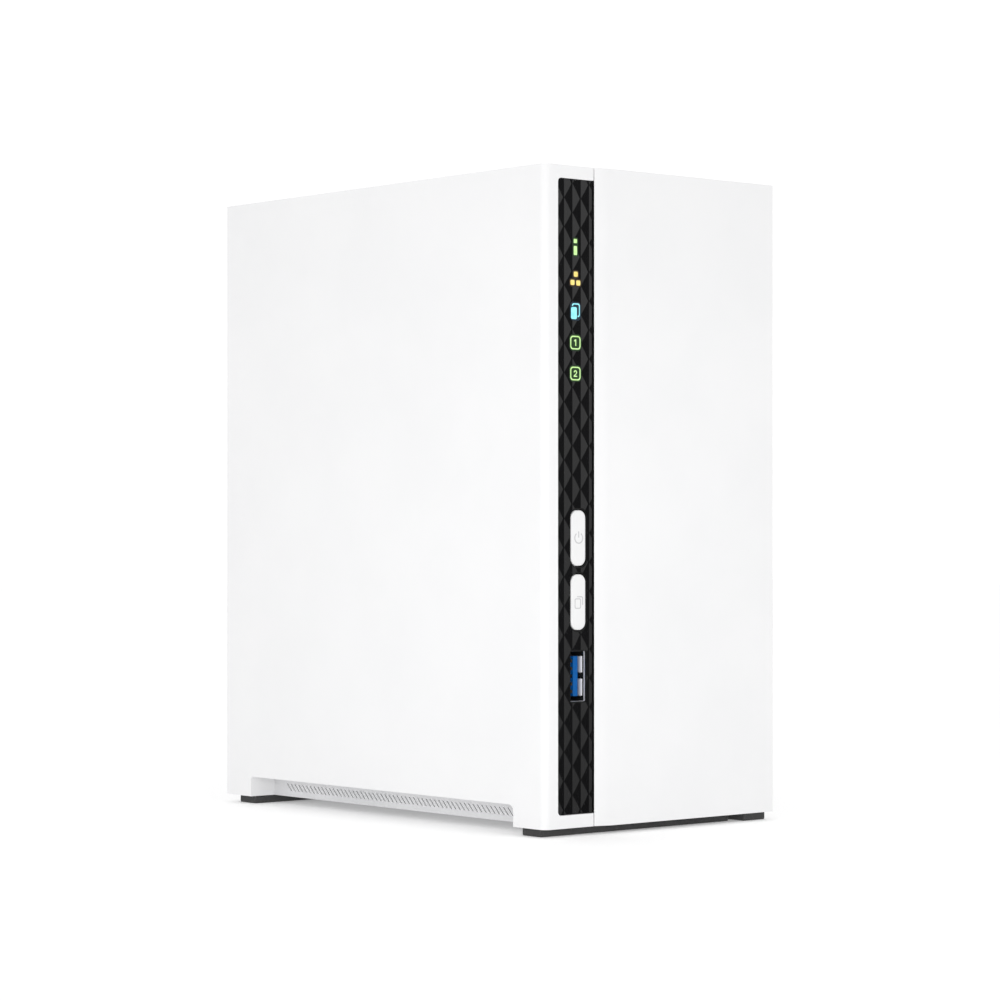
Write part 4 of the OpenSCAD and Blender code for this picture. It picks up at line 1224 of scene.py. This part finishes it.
def make_jack_contacts():
    """Eight sprung wires along the side of the mouth that lies away from the latch."""
    low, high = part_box("network_jack")
    wall = high.x - 1.8 * MM
    mid = (low.z + high.z) / 2
    path = [(0.0, 2.4), (0.1, 4.0), (1.3, 6.0), (2.6, 9.0), (3.2, 12.0), (2.7, 13.4), (2.3, 14.4)]
    bm = bmesh.new()
    for wire in range(8):
        z = mid + (wire - 3.5) * 1.02 * MM
        points = [(wall - deep * MM, high.y - back * MM) for deep, back in path]
        leaf_into(bm, points, 0.28 * MM, z - 0.2 * MM, z + 0.2 * MM)
    piece = from_bmesh("network_jack_contacts", bm, FINISHES["gold_contacts"])
    smooth(piece, 50.0)
    add_on(piece, "network_jack")


REAR_TONGUES = (-32.3 * MM, -24.2 * MM)


def make_rear_contacts():
    """Flat strips on the open side of both rear tongues."""
    bm = bmesh.new()
    low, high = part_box("rear_usb_tongues")
    mid = (low.z + high.z) / 2
    for x in REAR_TONGUES:
        for strip in (-1.5, -0.5, 0.5, 1.5):
            z = mid + strip * 2.3 * MM
            corner = (x - 0.12 * MM, low.y + 3.0 * MM, z - 0.5 * MM)
            box_into(bm, corner, (x + 0.05 * MM, high.y - 0.4 * MM, z + 0.5 * MM))
    piece = from_bmesh("rear_usb_contacts", bm, FINISHES["gold_contacts"])
    add_on(piece, "rear_usb_tongues")


# ---- Fan -----------------------------------------------------------------------------------

BLADES = 7
HUB_R = 13.0 * MM
HUB_SHAPE = ((11.2, 0.0), (12.2, 0.12), (12.8, 0.5), (13.0, 1.1), (13.0, 11.5), (11.6, 11.5), (11.6, 1.7))


def blade(bm, mid, turn, y_mid, reach, depth):
    """A swept, twisted and cambered blade with a rounded section."""
    spans, chords = 9, 9
    faces = {1: [], -1: []}
    for side in (1, -1):
        for i in range(spans + 1):
            share = i / spans
            radius = HUB_R - 0.7 * MM + (reach - HUB_R + 0.7 * MM) * share
            half = math.radians(21.0 + 3.0 * share)
            lean = turn + math.radians(13.0) * share * share
            rise = depth * (1.0 - 0.28 * share)
            row = []
            for k in range(chords + 1):
                t = 2.0 * k / chords - 1.0
                a = lean + t * half
                camber = 0.9 * MM * (1.0 - t * t)
                thick = (0.28 + 0.45 * (1.0 - t * t)) * MM
                y = y_mid + t * rise + camber + side * thick
                row.append(bm.verts.new((mid[0] + radius * math.cos(a), y, mid[1] + radius * math.sin(a))))
            faces[side].append(row)
    up, down = faces[1], faces[-1]
    for i in range(spans):
        for k in range(chords):
            bm.faces.new((up[i][k], up[i][k + 1], up[i + 1][k + 1], up[i + 1][k]))
            bm.faces.new((down[i][k], down[i + 1][k], down[i + 1][k + 1], down[i][k + 1]))
        for k in (0, chords):
            bm.faces.new((up[i][k], up[i + 1][k], down[i + 1][k], down[i][k]))
    for i in (0, spans):
        for k in range(chords):
            bm.faces.new((up[i][k], down[i][k], down[i][k + 1], up[i][k + 1]))


def make_fan():
    low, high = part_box("fan_rotor")
    mid = ((low.x + high.x) / 2, (low.z + high.z) / 2)
    reach = (high.x - low.x) / 2
    bm = bmesh.new()
    rings = []
    for r, back in HUB_SHAPE:
        ring = round_ring(mid, r * MM, steps=64)
        rings.append([Vector((x, low.y + back * MM, z)) for x, z in ring])
    loft(bm, rings)
    y_mid = (low.y + high.y) / 2 - 0.3 * MM
    depth = (high.y - low.y) / 2 - 1.6 * MM
    for number in range(BLADES):
        blade(bm, mid, 2 * math.pi * number / BLADES, y_mid, reach, depth)
    rotor = from_bmesh("fan_rotor_moulded", bm, FINISHES[SLOT["fan_rotor"]])
    smooth(rotor)
    stand_for(rotor, "fan_rotor")
    softened("fan_frame", 0.4, 2)


# ---- Cage and screws -----------------------------------------------------------------------


def make_cage():
    for node in ("cage_side", "cage_front", "cage_rear"):
        softened(node, 0.2, 2)
    for node in ("fan_screws", "cover_screws", "board_screws", "cage_screws", "drive_screws"):
        softened(node, 0.18, 2)


# ---- Everything else keeps its CAD shape ---------------------------------------------------


def finish_the_rest():
    for node, part in frame["nodes"].items():
        part.data.materials.clear()
        part.data.materials.append(FINISHES[SLOT[node]])


finish_the_rest()
make_case()
make_feet()
make_strip()
make_button("power_button", power_mark)
make_button("copy_button", copy_mark)
make_front_socket()
make_drives()
make_boards()
make_jack_contacts()
make_rear_contacts()
make_fan()
make_cage()
